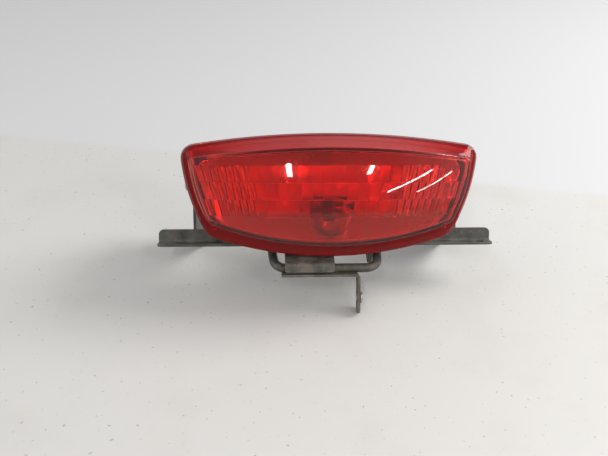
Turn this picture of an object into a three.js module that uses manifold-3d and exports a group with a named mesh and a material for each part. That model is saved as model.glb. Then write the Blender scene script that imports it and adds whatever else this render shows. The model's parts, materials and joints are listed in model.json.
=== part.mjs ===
// Motorcycle tail light on its steel bracket, in millimetres, +Z up.
//
// The lamp is drawn in its own frame: X to the right as seen from behind the motorcycle,
// Y away from the viewer, Z up. Its origin is the middle of the crossbar, where the front face
// of the crossbar's wall meets the top face of its flange. The finished lamp is then tipped
// back until the tab under the loop and the feet of the two cheeks stand on one plane.

import * as THREE from 'three';
import { mergeVertices } from 'three/addons/utils/BufferGeometryUtils.js';
import Module from 'manifold-3d';

const wasm = await Module();
wasm.setup();

// ---------------------------------------------------------------- driving dimensions

// Clearance between pieces that touch, and what a cutter stands past the face it cuts.
const GAP = 0.3;
const PAST = 1;

// Outline of the lens rim: four arcs joined by rounded corners.
const RIM_HALF_WIDTH = 94.4;
const RIM_TOP = 73.6;
const RIM_BOTTOM = -5.2;
const RIM_TOP_RADIUS = 560;
const RIM_SIDE_RADIUS = 120;
const RIM_SIDE_CROWN = 69.6;
const RIM_BOTTOM_RADIUS = 225;
const RIM_UPPER_CORNER = 9;
const RIM_LOWER_CORNER = 14;
const LEAST_CORNER = { upper: 3, lower: 3 };

// Lens: rim, sloping skirt, narrow ledge, then the bowed window.
const RIM_BACK = -28;
const RIM_THICKNESS = 2;
const SKIRT_DEPTH = 3.4;
const LEDGE_DEPTH = 6;
const LENS_WALL = 2.4;
const FACE_REACH = 57;
const FACE_CROSS_RADIUS = 244;
const FACE_UPRIGHT_RADIUS = 62.5;
const FACE_CROWN = 40;
const FACE_SHOULDER = 1.2;
const SKIRT_INSET = { top: 1.0, side: 2.0, bottom: 4.4 };
const LEDGE_INSET = { top: 1.6, side: 4.0, bottom: 7.6 };
const WINDOW_INSET = { top: 8.2, side: 5.8, bottom: 9.0 };

// Rear housing: a flange behind the lens rim and a shell that tapers to a flat back.
const FLANGE_INSET = 0.8;
const FLANGE_THICKNESS = 3;
const SHELL_INSET = 7;
const SHELL_WALL = 1.8;
const SHELL_CORNER = { upper: 12, lower: 22 };
const HOUSING_BACK = -3;
const BACK_WALL = 2.2;
const SHELL_TAPER = { top: 2.2, side: 0.8, bottom: 1.2 };

// Gasket between the lens rim and the housing flange.
const GASKET_INSET = 1.5;
const GASKET_WIDTH = 1.3;
const GASKET_HEIGHT = 1;

// Reflector: a mirrored dish whose floor holds the fluted bands.
const REFLECTOR_WALL = 1.5;
const REFLECTOR_FLOOR = -17;
const REFLECTOR_FLOOR_INSET = { top: 21.1, side: 11.9, bottom: 24 };
const BULB_HOLE_RADIUS = 13.6;

// Lens screws, driven from behind into posts inside the lens corners.
const LENS_SCREW_INSET = 5.6;
const LENS_SCREW_RADIUS = 1.4;
const LENS_SCREW_LENGTH = 7.6;
const LENS_SCREW_HEAD_RADIUS = 2.6;
const LENS_SCREW_HEAD = 2;
const LENS_POST_RADIUS = 3.4;
const LENS_POST_LENGTH = 7;

// Bulb axis and the neck that takes the twist-in holder.
const HOLDER_SPACE = 1.3;
const NECK_WALL = 3.3;
const NECK_CLEARANCE = 0.4;
const NECK_END = 3.7;
const LOCK_ANGLE = 40;

// Twist-in bulb holder.
const HOLDER_FRONT = -9.5;
const HOLDER_WALL = 4.1;
const HOLDER_FLANGE_STEP = 0.4;
const HOLDER_FLANGE = 2.6;
const HOLDER_REAR = 18;
const HOLDER_REAR_WALL = 1.7;
const HOLDER_FLOOR = 3;
const LUG_REACH = 1.9;
const LUG_WIDTH = 6.4;
const LUG_THICKNESS = 2.7;
const SEAL_HEIGHT = 1.7;
const WIRE_BORE = 2.2;
const BOOT_LENGTH = 14;

// Bayonet socket, its spring contact carrier and the bulb.
const SOCKET_WALL = 0.7;
const SOCKET_SPACE = 1.1;
const SOCKET_FRONT = -15;
const SOCKET_REAR = 11;
const CAP_RADIUS = 7.55;
const CAP_CLEARANCE = 0.45;
const CAP_BASE = 1.6;
const CAP_FRONT = -15;
const CAP_WALL = 0.5;
const PIN_RADIUS = 1;
const PIN_REACH = 1.6;
const PIN_HEIGHT = 6;
const PIN_STEP = 3;
const BULB_TURN = 25;
const BULB_TRAVEL = 2.1;
const CARRIER_THICKNESS = 2.4;
const CONTACT_RADIUS = 1.5;
const CONTACT_SPREAD = 3.2;
const SPRING_RADIUS = 5.4;
const SPRING_WIRE = 0.5;
const SPRING_TURNS = 3;
const GLASS_RADIUS = 12.8;
const GLASS_NECK = 6.5;
const GLASS_WALL = 0.7;
const GLASS_CENTRE = -31.5;
const FILAMENT_SPAN = 3.4;

// Crossbar: one bent sheet, a low wall on a forward flange with an ear at each end.
const CROSSBAR_LENGTH = 228;
const SHEET = 1.5;
const WALL_HEIGHT = 8.7;
const FLANGE_DEPTH = 11;
const EAR_HOLE_SPACING = 210;
const EAR_HOLE_RADIUS = 3.5;
const EAR_CORNER = 5;
const WALL_CORNER = 3.5;

// Cheeks: two upright plates behind the crossbar that carry the lamp.
const CHEEK_INNER = 88.6;
const CHEEK_SHEET = 2;
const CHEEK_DEPTH = 46;
const CHEEK_HEIGHT = 56;
const FOOT_RADIUS = 4;
const FOOT_DROP = 10;

// Side fixings: rubber bush, sleeve, washer and bolt through each cheek.
const SIDE_BOLT_BACK = 15;
const SIDE_BOLT_HEIGHT = 40;
const SIDE_BOLT_RADIUS = 3;
const SIDE_BOLT_GRIP = 12;
const HEX_RADIUS = 5.8;
const HEX_HEIGHT = 2.8;
const BUSH_RADIUS = 11;
const BUSH_LIP = 1.6;
const BUSH_EDGE = 0.6;
const BUSH_HOLE = 7;
const SLEEVE_WALL = 1;
const WASHER_RADIUS = 9;
const WASHER_THICKNESS = 1;
const BOSS_WIDTH = 16;
const BOSS_LENGTH = 14;

// Loop under the crossbar: a bent round bar with a strap, a gusset and a hanging tab.
const BAR_RADIUS = 3;
const BAR_BEND = 9;
const LOOP_CENTRE = -1.6;
const LOOP_HALF_RUN = 33.4;
const LOOP_SPREAD = 2.8;
const LOOP_FRONT = -25;
const LOOP_DROP = 13.9;
const STRAP_LEFT = -28.7;
const STRAP_WIDTH = 32.2;
const STRAP_LIP = 5.4;
const GUSSET_THICKNESS = 3;
const GUSSET_WIDTH = 7;
const TAB_LEFT = -31;
const TAB_RIGHT = 20.3;
const TAB_WIDTH = 11;
const TAB_DROP = 44.3;
const TAB_SHEET = 1.6;
const NUT_HEIGHT = 10.7;
const NUT_RADIUS = 4;
const NUT_BORE = 2;

// Radii of the bulb holder and its neck, outwards from the bulb's cap.
const socketBore = CAP_RADIUS + CAP_CLEARANCE;
const socketRadius = socketBore + SOCKET_WALL;
const holderBore = socketRadius + SOCKET_SPACE;
const holderRadius = holderBore + HOLDER_WALL;
const holderRearRadius = holderBore + HOLDER_REAR_WALL;
const neckBore = holderRadius + NECK_CLEARANCE;
const neckRadius = neckBore + NECK_WALL;
const holderFlangeRadius = neckRadius - HOLDER_FLANGE_STEP;

// The bulb axis keeps the holder clear of the housing's lower wall.
const shellFloor = RIM_BOTTOM + SHELL_INSET + SHELL_TAPER.bottom + SHELL_WALL;
const bulbHeight = shellFloor + holderRadius + HOLDER_SPACE;

// ---------------------------------------------------------------- materials

function finish(colour, roughness, metalness) {
  return new THREE.MeshStandardMaterial({ color: colour, roughness, metalness });
}

const paintedSteel = finish(0x34362f, 0.6, 0.5);
const wornSteel = finish(0x4a443a, 0.65, 0.5);
const redLens = finish(0xb3161d, 0.15, 0);
const blackPlastic = finish(0x1b1b1c, 0.55, 0);
const mirror = finish(0xd8d8da, 0.12, 1);
const rubber = finish(0x151515, 0.85, 0);
const zincSteel = finish(0xb5b4ac, 0.35, 1);
const brass = finish(0xb08d4f, 0.35, 1);
const phenolic = finish(0x4b2f1f, 0.6, 0);
const solder = finish(0xa7a8a6, 0.4, 1);
const clearGlass = finish(0xe9f0f0, 0.05, 0);
const tungsten = finish(0x6d6a66, 0.45, 1);

// ---------------------------------------------------------------- solids

// Merges shared corners, drops slivers at poles and turns the faces outwards.
function closed(geometry) {
  geometry.deleteAttribute('normal');
  geometry.deleteAttribute('uv');
  const merged = mergeVertices(geometry, 1e-4);
  const place = merged.attributes.position;
  const corners = merged.index.array;
  const kept = [];
  let volume = 0;
  for (let i = 0; i < corners.length; i += 3) {
    const [a, b, c] = [corners[i], corners[i + 1], corners[i + 2]];
    if (a === b || b === c || c === a) continue;
    kept.push(a, b, c);
    const va = new THREE.Vector3().fromBufferAttribute(place, a);
    const vb = new THREE.Vector3().fromBufferAttribute(place, b);
    const vc = new THREE.Vector3().fromBufferAttribute(place, c);
    volume += va.dot(vb.cross(vc));
  }
  merged.setIndex(volume < 0 ? kept.reverse() : kept);
  return merged;
}

function solidOf(geometry) {
  const source = closed(geometry);
  const mesh = new wasm.Mesh({
    numProp: 3,
    vertProperties: new Float32Array(source.attributes.position.array),
    triVerts: new Uint32Array(source.index.array),
  });
  return new wasm.Manifold(mesh);
}

function geometryOf(solid) {
  const mesh = solid.getMesh();
  const geometry = new THREE.BufferGeometry();
  geometry.setAttribute('position', new THREE.BufferAttribute(new Float32Array(mesh.vertProperties), 3));
  geometry.setIndex(Array.from(mesh.triVerts));
  return geometry;
}

function piece(parent, name, solid, material) {
  const geometry = geometryOf(solid);
  geometry.computeVertexNormals();
  const mesh = new THREE.Mesh(geometry, material.clone());
  mesh.name = name;
  parent.add(mesh);
  return mesh;
}

// A box between two corners.
function block(low, high) {
  const size = high.map((value, i) => value - low[i]);
  const middle = high.map((value, i) => (value + low[i]) / 2);
  return solidOf(new THREE.BoxGeometry(...size).translate(...middle));
}

// A body turned about Y; the profile is a closed loop of [radius, y] pairs.
function turned(profile, segments = 24) {
  const points = profile.map(([radius, y]) => new THREE.Vector2(radius, y));
  points.push(points[0].clone());
  return solidOf(new THREE.LatheGeometry(points, segments));
}

// A round rod about Y, from y0 to y1.
function rod(radius, y0, y1, segments = 16) {
  return turned([[0, y0], [radius, y0], [radius, y1], [0, y1]], segments);
}

// The same rod beside the axis, or along X or Z.
function rodAt(radius, y0, y1, matrix, segments = 12) {
  const geometry = geometryOf(rod(radius, y0, y1, segments));
  return solidOf(geometry.applyMatrix4(matrix));
}

// Matrices that lay a flat outline, drawn in u and v and extruded along w, on each plane.
const acrossY = new THREE.Matrix4().set(1, 0, 0, 0, 0, 0, 1, 0, 0, 1, 0, 0, 0, 0, 0, 1);
const acrossX = new THREE.Matrix4().set(0, 0, 1, 0, 1, 0, 0, 0, 0, 1, 0, 0, 0, 0, 0, 1);
const acrossZ = new THREE.Matrix4();
const yToX = new THREE.Matrix4().makeRotationZ(-Math.PI / 2);

// A sheet of the given outline between two levels of the axis that it lies across.
function sheet(shape, plane, from, to, curveSegments = 6) {
  const geometry = new THREE.ExtrudeGeometry(shape, {
    depth: to - from,
    bevelEnabled: false,
    curveSegments,
  });
  return solidOf(geometry.translate(0, 0, from).applyMatrix4(plane));
}

// Joins a list of corners into an outline, with a radius where a corner has one.
function roundedShape(corners) {
  const shape = new THREE.Shape();
  corners.forEach(([u, v, radius = 0], i) => {
    const before = corners[(i + corners.length - 1) % corners.length];
    const after = corners[(i + 1) % corners.length];
    const corner = new THREE.Vector2(u, v);
    const back = new THREE.Vector2(before[0], before[1]).sub(corner).normalize();
    const ahead = new THREE.Vector2(after[0], after[1]).sub(corner).normalize();
    const half = Math.acos(THREE.MathUtils.clamp(back.dot(ahead), -1, 1)) / 2;
    const reach = radius / Math.tan(half);
    const start = back.multiplyScalar(reach).add(corner);
    const end = ahead.multiplyScalar(reach).add(corner);
    if (i === 0) shape.moveTo(start.x, start.y);
    else shape.lineTo(start.x, start.y);
    if (radius > 0) shape.quadraticCurveTo(u, v, end.x, end.y);
  });
  shape.closePath();
  return shape;
}

// The outline of a strip of even thickness bent along a centre line.
function stripShape(line, thickness) {
  const points = line.map(([u, v]) => new THREE.Vector2(u, v));
  const sides = [[], []];
  points.forEach((point, i) => {
    const along = (points[i + 1] ?? point).clone().sub(points[i]);
    const behind = point.clone().sub(points[i - 1] ?? point);
    const first = (behind.length() > 0 ? behind : along).clone().normalize();
    const second = (along.length() > 0 ? along : behind).clone().normalize();
    const normal = new THREE.Vector2(-first.y - second.y, first.x + second.x).normalize();
    const stretch = thickness / 2 / normal.dot(new THREE.Vector2(-first.y, first.x));
    sides[0].push(point.clone().addScaledVector(normal, stretch));
    sides[1].unshift(point.clone().addScaledVector(normal, -stretch));
  });
  return new THREE.Shape([...sides[0], ...sides[1]]);
}

// Skins a row of rings with equal counts; a ring of one point is a pole.
// An open row is capped at its ends, and a looped row joins its last ring to its first.
function skinned(rings, looped = false) {
  const places = [];
  const corners = [];
  const starts = rings.map((ring) => {
    const start = places.length / 3;
    ring.forEach((point) => places.push(point.x, point.y, point.z));
    return start;
  });
  const join = (i, j) => {
    const count = Math.max(rings[i].length, rings[j].length);
    for (let k = 0; k < count; k += 1) {
      const next = (k + 1) % count;
      const a = starts[i] + (k % rings[i].length);
      const b = starts[i] + (next % rings[i].length);
      const c = starts[j] + (k % rings[j].length);
      const d = starts[j] + (next % rings[j].length);
      corners.push(a, b, d, a, d, c);
    }
  };
  for (let i = 0; i + 1 < rings.length; i += 1) join(i, i + 1);
  if (looped) join(rings.length - 1, 0);
  else {
    [0, rings.length - 1].forEach((end) => {
      if (rings[end].length === 1) return;
      const centre = new THREE.Vector3();
      rings[end].forEach((point) => centre.addScaledVector(point, 1 / rings[end].length));
      const pole = places.length / 3;
      places.push(centre.x, centre.y, centre.z);
      rings[end].forEach((point, k) => {
        const a = starts[end] + k;
        const b = starts[end] + ((k + 1) % rings[end].length);
        corners.push(...(end === 0 ? [pole, b, a] : [pole, a, b]));
      });
    });
  }
  const geometry = new THREE.BufferGeometry();
  geometry.setAttribute('position', new THREE.Float32BufferAttribute(places, 3));
  geometry.setIndex(corners);
  return solidOf(geometry);
}

// ---------------------------------------------------------------- lamp outline

const topArc = { x: 0, z: RIM_TOP - RIM_TOP_RADIUS, radius: RIM_TOP_RADIUS };
const sideArc = { x: RIM_HALF_WIDTH - RIM_SIDE_RADIUS, z: RIM_SIDE_CROWN, radius: RIM_SIDE_RADIUS };
const bottomArc = { x: 0, z: RIM_BOTTOM + RIM_BOTTOM_RADIUS, radius: RIM_BOTTOM_RADIUS };

function even(inset) {
  return { top: inset, side: inset, bottom: inset };
}

function plus(inset, extra) {
  return { top: inset.top + extra, side: inset.side + extra, bottom: inset.bottom + extra };
}

// The right-hand meeting point of two circles.
function meeting(a, radiusA, b, radiusB) {
  const dx = b.x - a.x;
  const dz = b.z - a.z;
  const apart = Math.hypot(dx, dz);
  const along = (radiusA ** 2 - radiusB ** 2 + apart ** 2) / (2 * apart);
  const off = Math.sqrt(radiusA ** 2 - along ** 2);
  const middle = { x: a.x + (dx / apart) * along, z: a.z + (dz / apart) * along };
  const side = dz > 0 ? 1 : -1;
  return { x: middle.x + (side * dz * off) / apart, z: middle.z - (side * dx * off) / apart };
}

// Centres and radii of the two corners of an outline set in from the rim.
function cornersOf(inset, least = LEAST_CORNER) {
  const upper = Math.max(RIM_UPPER_CORNER - inset.side, least.upper);
  const lower = Math.max(RIM_LOWER_CORNER - inset.bottom, least.lower);
  const sideRadius = sideArc.radius - inset.side;
  const u = meeting(topArc, topArc.radius - inset.top - upper, sideArc, sideRadius - upper);
  const l = meeting(bottomArc, bottomArc.radius - inset.bottom - lower, sideArc, sideRadius - lower);
  return { upper: { ...u, radius: upper }, lower: { ...l, radius: lower } };
}

function angleFrom(centre, point) {
  return Math.atan2(point.z - centre.z, point.x - centre.x);
}

// The closed outline, from the middle of the top round by the right.
function outline(inset, least) {
  const { upper, lower } = cornersOf(inset, least);
  const topTurn = angleFrom(topArc, upper);
  const sideTurn = angleFrom(sideArc, upper);
  const lowTurn = angleFrom(sideArc, lower);
  const bottomTurn = angleFrom(bottomArc, lower);
  const runs = [
    { arc: topArc, radius: topArc.radius - inset.top, from: Math.PI / 2, to: topTurn, steps: 5 },
    { arc: upper, radius: upper.radius, from: topTurn, to: sideTurn, steps: 4 },
    { arc: sideArc, radius: sideArc.radius - inset.side, from: sideTurn, to: lowTurn, steps: 4 },
    { arc: lower, radius: lower.radius, from: lowTurn, to: bottomTurn, steps: 5 },
    { arc: bottomArc, radius: bottomArc.radius - inset.bottom, from: bottomTurn, to: -Math.PI / 2, steps: 5 },
  ];
  const half = [];
  runs.forEach(({ arc, radius, from, to, steps }) => {
    for (let i = 0; i < steps; i += 1) {
      const angle = from + ((to - from) * i) / steps;
      half.push({ x: arc.x + radius * Math.cos(angle), z: arc.z + radius * Math.sin(angle) });
    }
  });
  half[0].x = 0;
  const foot = { x: 0, z: RIM_BOTTOM + inset.bottom };
  const mirrored = half.slice(1).reverse().map(({ x, z }) => ({ x: -x, z }));
  return [...half, foot, ...mirrored];
}

// A ring of the outline at one depth.
function ring(inset, y, least) {
  return outline(inset, least).map(({ x, z }) => new THREE.Vector3(x, y, z));
}

// Depth of the bowed window at a point.
function faceDepth(x, z) {
  const across = x ** 2 / (2 * FACE_CROSS_RADIUS);
  const upright = (z - FACE_CROWN) ** 2 / (2 * FACE_UPRIGHT_RADIUS);
  return across + upright - FACE_REACH;
}

// The rings and pole of the window, from its edge to its middle, set back by a distance.
function windowRings(inset, back) {
  const middle = (RIM_TOP + RIM_BOTTOM) / 2;
  const edge = outline(inset);
  const rings = [1, 0.8, 0.55, 0.28].map((share) => edge.map(({ x, z }) => {
    const height = middle + (z - middle) * share;
    return new THREE.Vector3(x * share, faceDepth(x * share, height) + back, height);
  }));
  return [...rings, [new THREE.Vector3(0, faceDepth(0, middle) + back, middle)]];
}

// Where a lens screw sits at the upper or the lower corner of one side.
function screwPlace(corner, side) {
  const { upper, lower } = cornersOf(even(0));
  const centre = corner === 'upper' ? upper : lower;
  const angle = corner === 'upper'
    ? (angleFrom(topArc, upper) + angleFrom(sideArc, upper)) / 2
    : (angleFrom(bottomArc, lower) + angleFrom(sideArc, lower)) / 2;
  const reach = centre.radius - LENS_SCREW_INSET;
  return { x: side * (centre.x + reach * Math.cos(angle)), z: centre.z + reach * Math.sin(angle) };
}

const screwPlaces = [];
['upper', 'lower'].forEach((corner) => {
  [-1, 1].forEach((side) => screwPlaces.push(screwPlace(corner, side)));
});

// ---------------------------------------------------------------- lens, gasket and housing

const lensFront = RIM_BACK - RIM_THICKNESS;
const skirtFront = lensFront - SKIRT_DEPTH;
const ledgeFront = RIM_BACK - LEDGE_DEPTH;
const flangeFront = RIM_BACK + GAP;
const flangeBack = flangeFront + FLANGE_THICKNESS;

function lensEnvelope() {
  const shoulder = outline(WINDOW_INSET).map(({ x, z }) => (
    new THREE.Vector3(x, faceDepth(x, z) + FACE_SHOULDER, z)
  ));
  return skinned([
    ring(even(0), RIM_BACK),
    ring(even(0), lensFront),
    ring(SKIRT_INSET, skirtFront),
    ring(LEDGE_INSET, ledgeFront),
    shoulder,
    ...windowRings(plus(WINDOW_INSET, FACE_SHOULDER / 2), 0),
  ]);
}

function lensCavity() {
  const ledge = plus(LEDGE_INSET, LENS_WALL);
  return skinned([
    ring(ledge, RIM_BACK + PAST),
    ring(ledge, ledgeFront + LENS_WALL),
    ...windowRings(plus(WINDOW_INSET, FACE_SHOULDER / 2 + LENS_WALL), LENS_WALL),
  ]);
}

function lensSolid() {
  const envelope = lensEnvelope();
  let lens = envelope.subtract(lensCavity());
  screwPlaces.forEach(({ x, z }) => {
    const place = new THREE.Matrix4().makeTranslation(x, 0, z);
    const tip = flangeBack - LENS_SCREW_LENGTH;
    const post = rodAt(LENS_POST_RADIUS, RIM_BACK - LENS_POST_LENGTH, RIM_BACK, place);
    const pilot = rodAt(LENS_SCREW_RADIUS + GAP, tip - GAP, RIM_BACK + PAST, place);
    lens = lens.add(post.intersect(envelope)).subtract(pilot);
  });
  return lens;
}

function gasketSolid(spare = 0) {
  const outer = even(GASKET_INSET - spare);
  const inner = even(GASKET_INSET + GASKET_WIDTH + spare);
  const front = flangeFront - (spare > 0 ? PAST : 0);
  const back = flangeFront + GASKET_HEIGHT + spare;
  return skinned([ring(outer, front), ring(outer, back), ring(inner, back), ring(inner, front)], true);
}

// The shell's corner radii, less a wall.
function shellCorner(less) {
  return { upper: SHELL_CORNER.upper - less, lower: SHELL_CORNER.lower - less };
}

const shellBack = {
  top: SHELL_INSET + SHELL_TAPER.top,
  side: SHELL_INSET + SHELL_TAPER.side,
  bottom: SHELL_INSET + SHELL_TAPER.bottom,
};
const bossOuter = CHEEK_INNER - BUSH_LIP - 2 * GAP;

// A block on the back of the housing that a side bolt screws into.
function sideBoss(side) {
  const half = BOSS_WIDTH / 2;
  const back = SIDE_BOLT_BACK + half;
  const front = HOUSING_BACK - BACK_WALL / 2;
  const shape = roundedShape([
    [front, SIDE_BOLT_HEIGHT - half],
    [back, SIDE_BOLT_HEIGHT - half, half / 2],
    [back, SIDE_BOLT_HEIGHT + half, half / 2],
    [front, SIDE_BOLT_HEIGHT + half],
  ]);
  const near = side * (bossOuter - BOSS_LENGTH);
  const far = side * bossOuter;
  return sheet(shape, acrossX, Math.min(near, far), Math.max(near, far), 3);
}

function sideBore(side) {
  const matrix = new THREE.Matrix4().makeTranslation(0, SIDE_BOLT_BACK, SIDE_BOLT_HEIGHT);
  matrix.multiply(new THREE.Matrix4().makeRotationZ((-side * Math.PI) / 2));
  const radius = SIDE_BOLT_RADIUS + GAP;
  return rodAt(radius, bossOuter - SIDE_BOLT_GRIP, bossOuter + PAST, matrix);
}

// A lug, or the notch that it passes, on both sides of the holder's axis.
function lugPair(reach, width, y0, y1, angle) {
  const box = new THREE.BoxGeometry(2 * reach, y1 - y0, width);
  box.translate(0, (y0 + y1) / 2, 0);
  box.rotateY(THREE.MathUtils.degToRad(angle));
  return solidOf(box);
}

const lugReach = holderRadius + LUG_REACH;

function housingSolid() {
  const cavityBack = HOUSING_BACK - BACK_WALL;
  const mouth = even(SHELL_INSET);
  const bulbAxis = new THREE.Matrix4().makeTranslation(0, 0, bulbHeight);
  const shell = skinned([
    ring(even(FLANGE_INSET), flangeFront),
    ring(even(FLANGE_INSET), flangeBack),
    ring(mouth, flangeBack, SHELL_CORNER),
    ring(shellBack, HOUSING_BACK, SHELL_CORNER),
  ]);
  const cavity = skinned([
    ring(plus(mouth, SHELL_WALL), flangeFront - PAST, shellCorner(SHELL_WALL)),
    ring(plus(mouth, SHELL_WALL), flangeFront, shellCorner(SHELL_WALL)),
    ring(plus(shellBack, SHELL_WALL), cavityBack, shellCorner(SHELL_WALL)),
  ]);
  let housing = shell.subtract(cavity);
  housing = housing.add(rodAt(neckRadius, cavityBack, NECK_END, bulbAxis, 28));
  housing = housing.add(sideBoss(-1)).add(sideBoss(1));
  housing = housing.subtract(rodAt(neckBore, cavityBack - PAST, NECK_END + PAST, bulbAxis, 28));
  const notch = lugPair(
    lugReach + 2 * GAP,
    LUG_WIDTH + 4 * GAP,
    cavityBack - PAST,
    NECK_END + PAST,
    LOCK_ANGLE,
  );
  housing = housing.subtract(solidOf(geometryOf(notch).applyMatrix4(bulbAxis)));
  housing = housing.subtract(gasketSolid(GAP));
  screwPlaces.forEach(({ x, z }) => {
    const place = new THREE.Matrix4().makeTranslation(x, 0, z);
    const radius = LENS_SCREW_RADIUS + GAP;
    housing = housing.subtract(rodAt(radius, flangeFront - PAST, flangeBack + PAST, place));
  });
  [-1, 1].forEach((side) => {
    housing = housing.subtract(sideBore(side));
  });
  return housing;
}

function reflectorSolid() {
  const mouth = even(SHELL_INSET + SHELL_WALL + GAP);
  const corner = shellCorner(SHELL_WALL + GAP);
  const innerCorner = shellCorner(SHELL_WALL + GAP + REFLECTOR_WALL);
  const mouthFront = flangeFront + GAP;
  const floorBack = {
    top: REFLECTOR_FLOOR_INSET.top - REFLECTOR_WALL,
    side: REFLECTOR_FLOOR_INSET.side - REFLECTOR_WALL,
    bottom: REFLECTOR_FLOOR_INSET.bottom - REFLECTOR_WALL,
  };
  const dish = skinned([
    ring(mouth, mouthFront, corner),
    ring(floorBack, REFLECTOR_FLOOR + REFLECTOR_WALL, corner),
  ]);
  const hollow = skinned([
    ring(plus(mouth, REFLECTOR_WALL), mouthFront - PAST, innerCorner),
    ring(plus(mouth, REFLECTOR_WALL), mouthFront, innerCorner),
    ring(REFLECTOR_FLOOR_INSET, REFLECTOR_FLOOR, innerCorner),
  ]);
  const hole = rodAt(
    BULB_HOLE_RADIUS,
    mouthFront - PAST,
    REFLECTOR_FLOOR + REFLECTOR_WALL + PAST,
    new THREE.Matrix4().makeTranslation(0, 0, bulbHeight),
    32,
  );
  return dish.subtract(hollow).subtract(hole);
}

// A pan-head screw whose head is behind the flange.
function lensScrewSolid() {
  const under = flangeBack + GAP;
  return turned([
    [0, under - LENS_SCREW_LENGTH],
    [LENS_SCREW_RADIUS, under - LENS_SCREW_LENGTH + LENS_SCREW_RADIUS],
    [LENS_SCREW_RADIUS, under],
    [LENS_SCREW_HEAD_RADIUS, under],
    [LENS_SCREW_HEAD_RADIUS, under + LENS_SCREW_HEAD / 2],
    [LENS_SCREW_HEAD_RADIUS * 0.6, under + LENS_SCREW_HEAD],
    [0, under + LENS_SCREW_HEAD],
  ], 12);
}

// ---------------------------------------------------------------- bulb holder and bulb
// These pieces are turned about the bulb axis and placed on it by their group.

const holderFlangeFront = NECK_END + SEAL_HEIGHT + 2 * GAP;
const insulatorRear = CAP_BASE + GAP + 1.1;
const bulbContactRear = insulatorRear + GAP + 0.6;
const carrierContactFront = bulbContactRear + GAP;
const carrierFront = carrierContactFront + GAP + 0.7;
const carrierRear = carrierFront + CARRIER_THICKNESS;
const holderBoreEnd = HOLDER_REAR - HOLDER_FLOOR;
const pinY = CAP_BASE - PIN_HEIGHT;

function holderSolid() {
  const flangeRear = holderFlangeFront + HOLDER_FLANGE;
  let holder = turned([
    [holderBore, HOLDER_FRONT],
    [holderRadius, HOLDER_FRONT],
    [holderRadius, holderFlangeFront],
    [holderFlangeRadius, holderFlangeFront],
    [holderFlangeRadius, flangeRear],
    [holderRearRadius, flangeRear],
    [holderRearRadius, HOLDER_REAR],
    [WIRE_BORE, HOLDER_REAR],
    [WIRE_BORE, holderBoreEnd],
    [holderBore, holderBoreEnd],
  ], 24);
  const lugBack = HOUSING_BACK - BACK_WALL - GAP;
  const bore = rod(holderBore + GAP, lugBack - 2 * LUG_THICKNESS, lugBack + PAST, 24);
  const lugs = lugPair(lugReach, LUG_WIDTH, lugBack - LUG_THICKNESS, lugBack, 0);
  const wingReach = holderFlangeRadius - 1;
  const wings = lugPair(wingReach, 3, flangeRear - GAP, HOLDER_REAR - PAST, 90);
  const core = rod(holderBore + GAP, flangeRear - PAST, HOLDER_REAR, 24);
  holder = holder.add(lugs.subtract(bore));
  return holder.add(wings.subtract(core));
}

function sealSolid() {
  const front = NECK_END + GAP;
  return turned([
    [holderRadius + GAP, front],
    [neckRadius - GAP, front],
    [neckRadius - GAP, front + SEAL_HEIGHT],
    [holderRadius + GAP, front + SEAL_HEIGHT],
  ], 32);
}

function bootSolid() {
  const front = HOLDER_REAR + GAP;
  const rear = front + BOOT_LENGTH;
  return turned([
    [WIRE_BORE, front],
    [holderRearRadius * 0.62, front],
    [holderRearRadius * 0.62, front + 2],
    [holderRearRadius * 0.5, front + 3],
    [WIRE_BORE + 1.6, rear],
    [WIRE_BORE, rear],
  ], 20);
}

// The brass shell, with a hooked slot for each bulb pin.
function socketSolid() {
  let socket = turned([
    [socketBore, SOCKET_FRONT],
    [socketRadius + 1.5, SOCKET_FRONT],
    [socketRadius + 1.5, SOCKET_FRONT + 0.8],
    [socketRadius, SOCKET_FRONT + 0.8],
    [socketRadius, SOCKET_REAR - 1],
    [holderBore - GAP, SOCKET_REAR - 1],
    [holderBore - GAP, SOCKET_REAR],
    [socketBore, SOCKET_REAR],
  ], 24);
  [0, 1].forEach((pin) => {
    const rest = pinY - pin * PIN_STEP;
    const steps = 5;
    for (let i = 0; i <= steps; i += 1) {
      const turn = THREE.MathUtils.degToRad(180 * pin + (BULB_TURN * i) / steps);
      const depth = rest + (BULB_TRAVEL * i) / steps;
      const width = 2 * (PIN_RADIUS + GAP);
      const front = i === steps ? SOCKET_FRONT - PAST : depth - width / 2;
      const slot = new THREE.BoxGeometry(2 * SOCKET_WALL + 2, depth + width / 2 - front, width);
      slot.translate(socketBore + SOCKET_WALL / 2, (depth + width / 2 + front) / 2, 0);
      slot.rotateY(turn);
      socket = socket.subtract(solidOf(slot));
    }
  });
  return socket;
}

function carrierSolid() {
  const radius = socketBore - GAP;
  return turned([
    [0, carrierFront],
    [radius, carrierFront],
    [radius, carrierRear],
    [0, carrierRear],
  ], 24);
}

function contactSolid(y0, y1) {
  return turned([
    [0, y0],
    [CONTACT_RADIUS * 0.7, y0],
    [CONTACT_RADIUS, (y0 + y1) / 2],
    [CONTACT_RADIUS, y1],
    [0, y1],
  ], 12);
}

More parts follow.
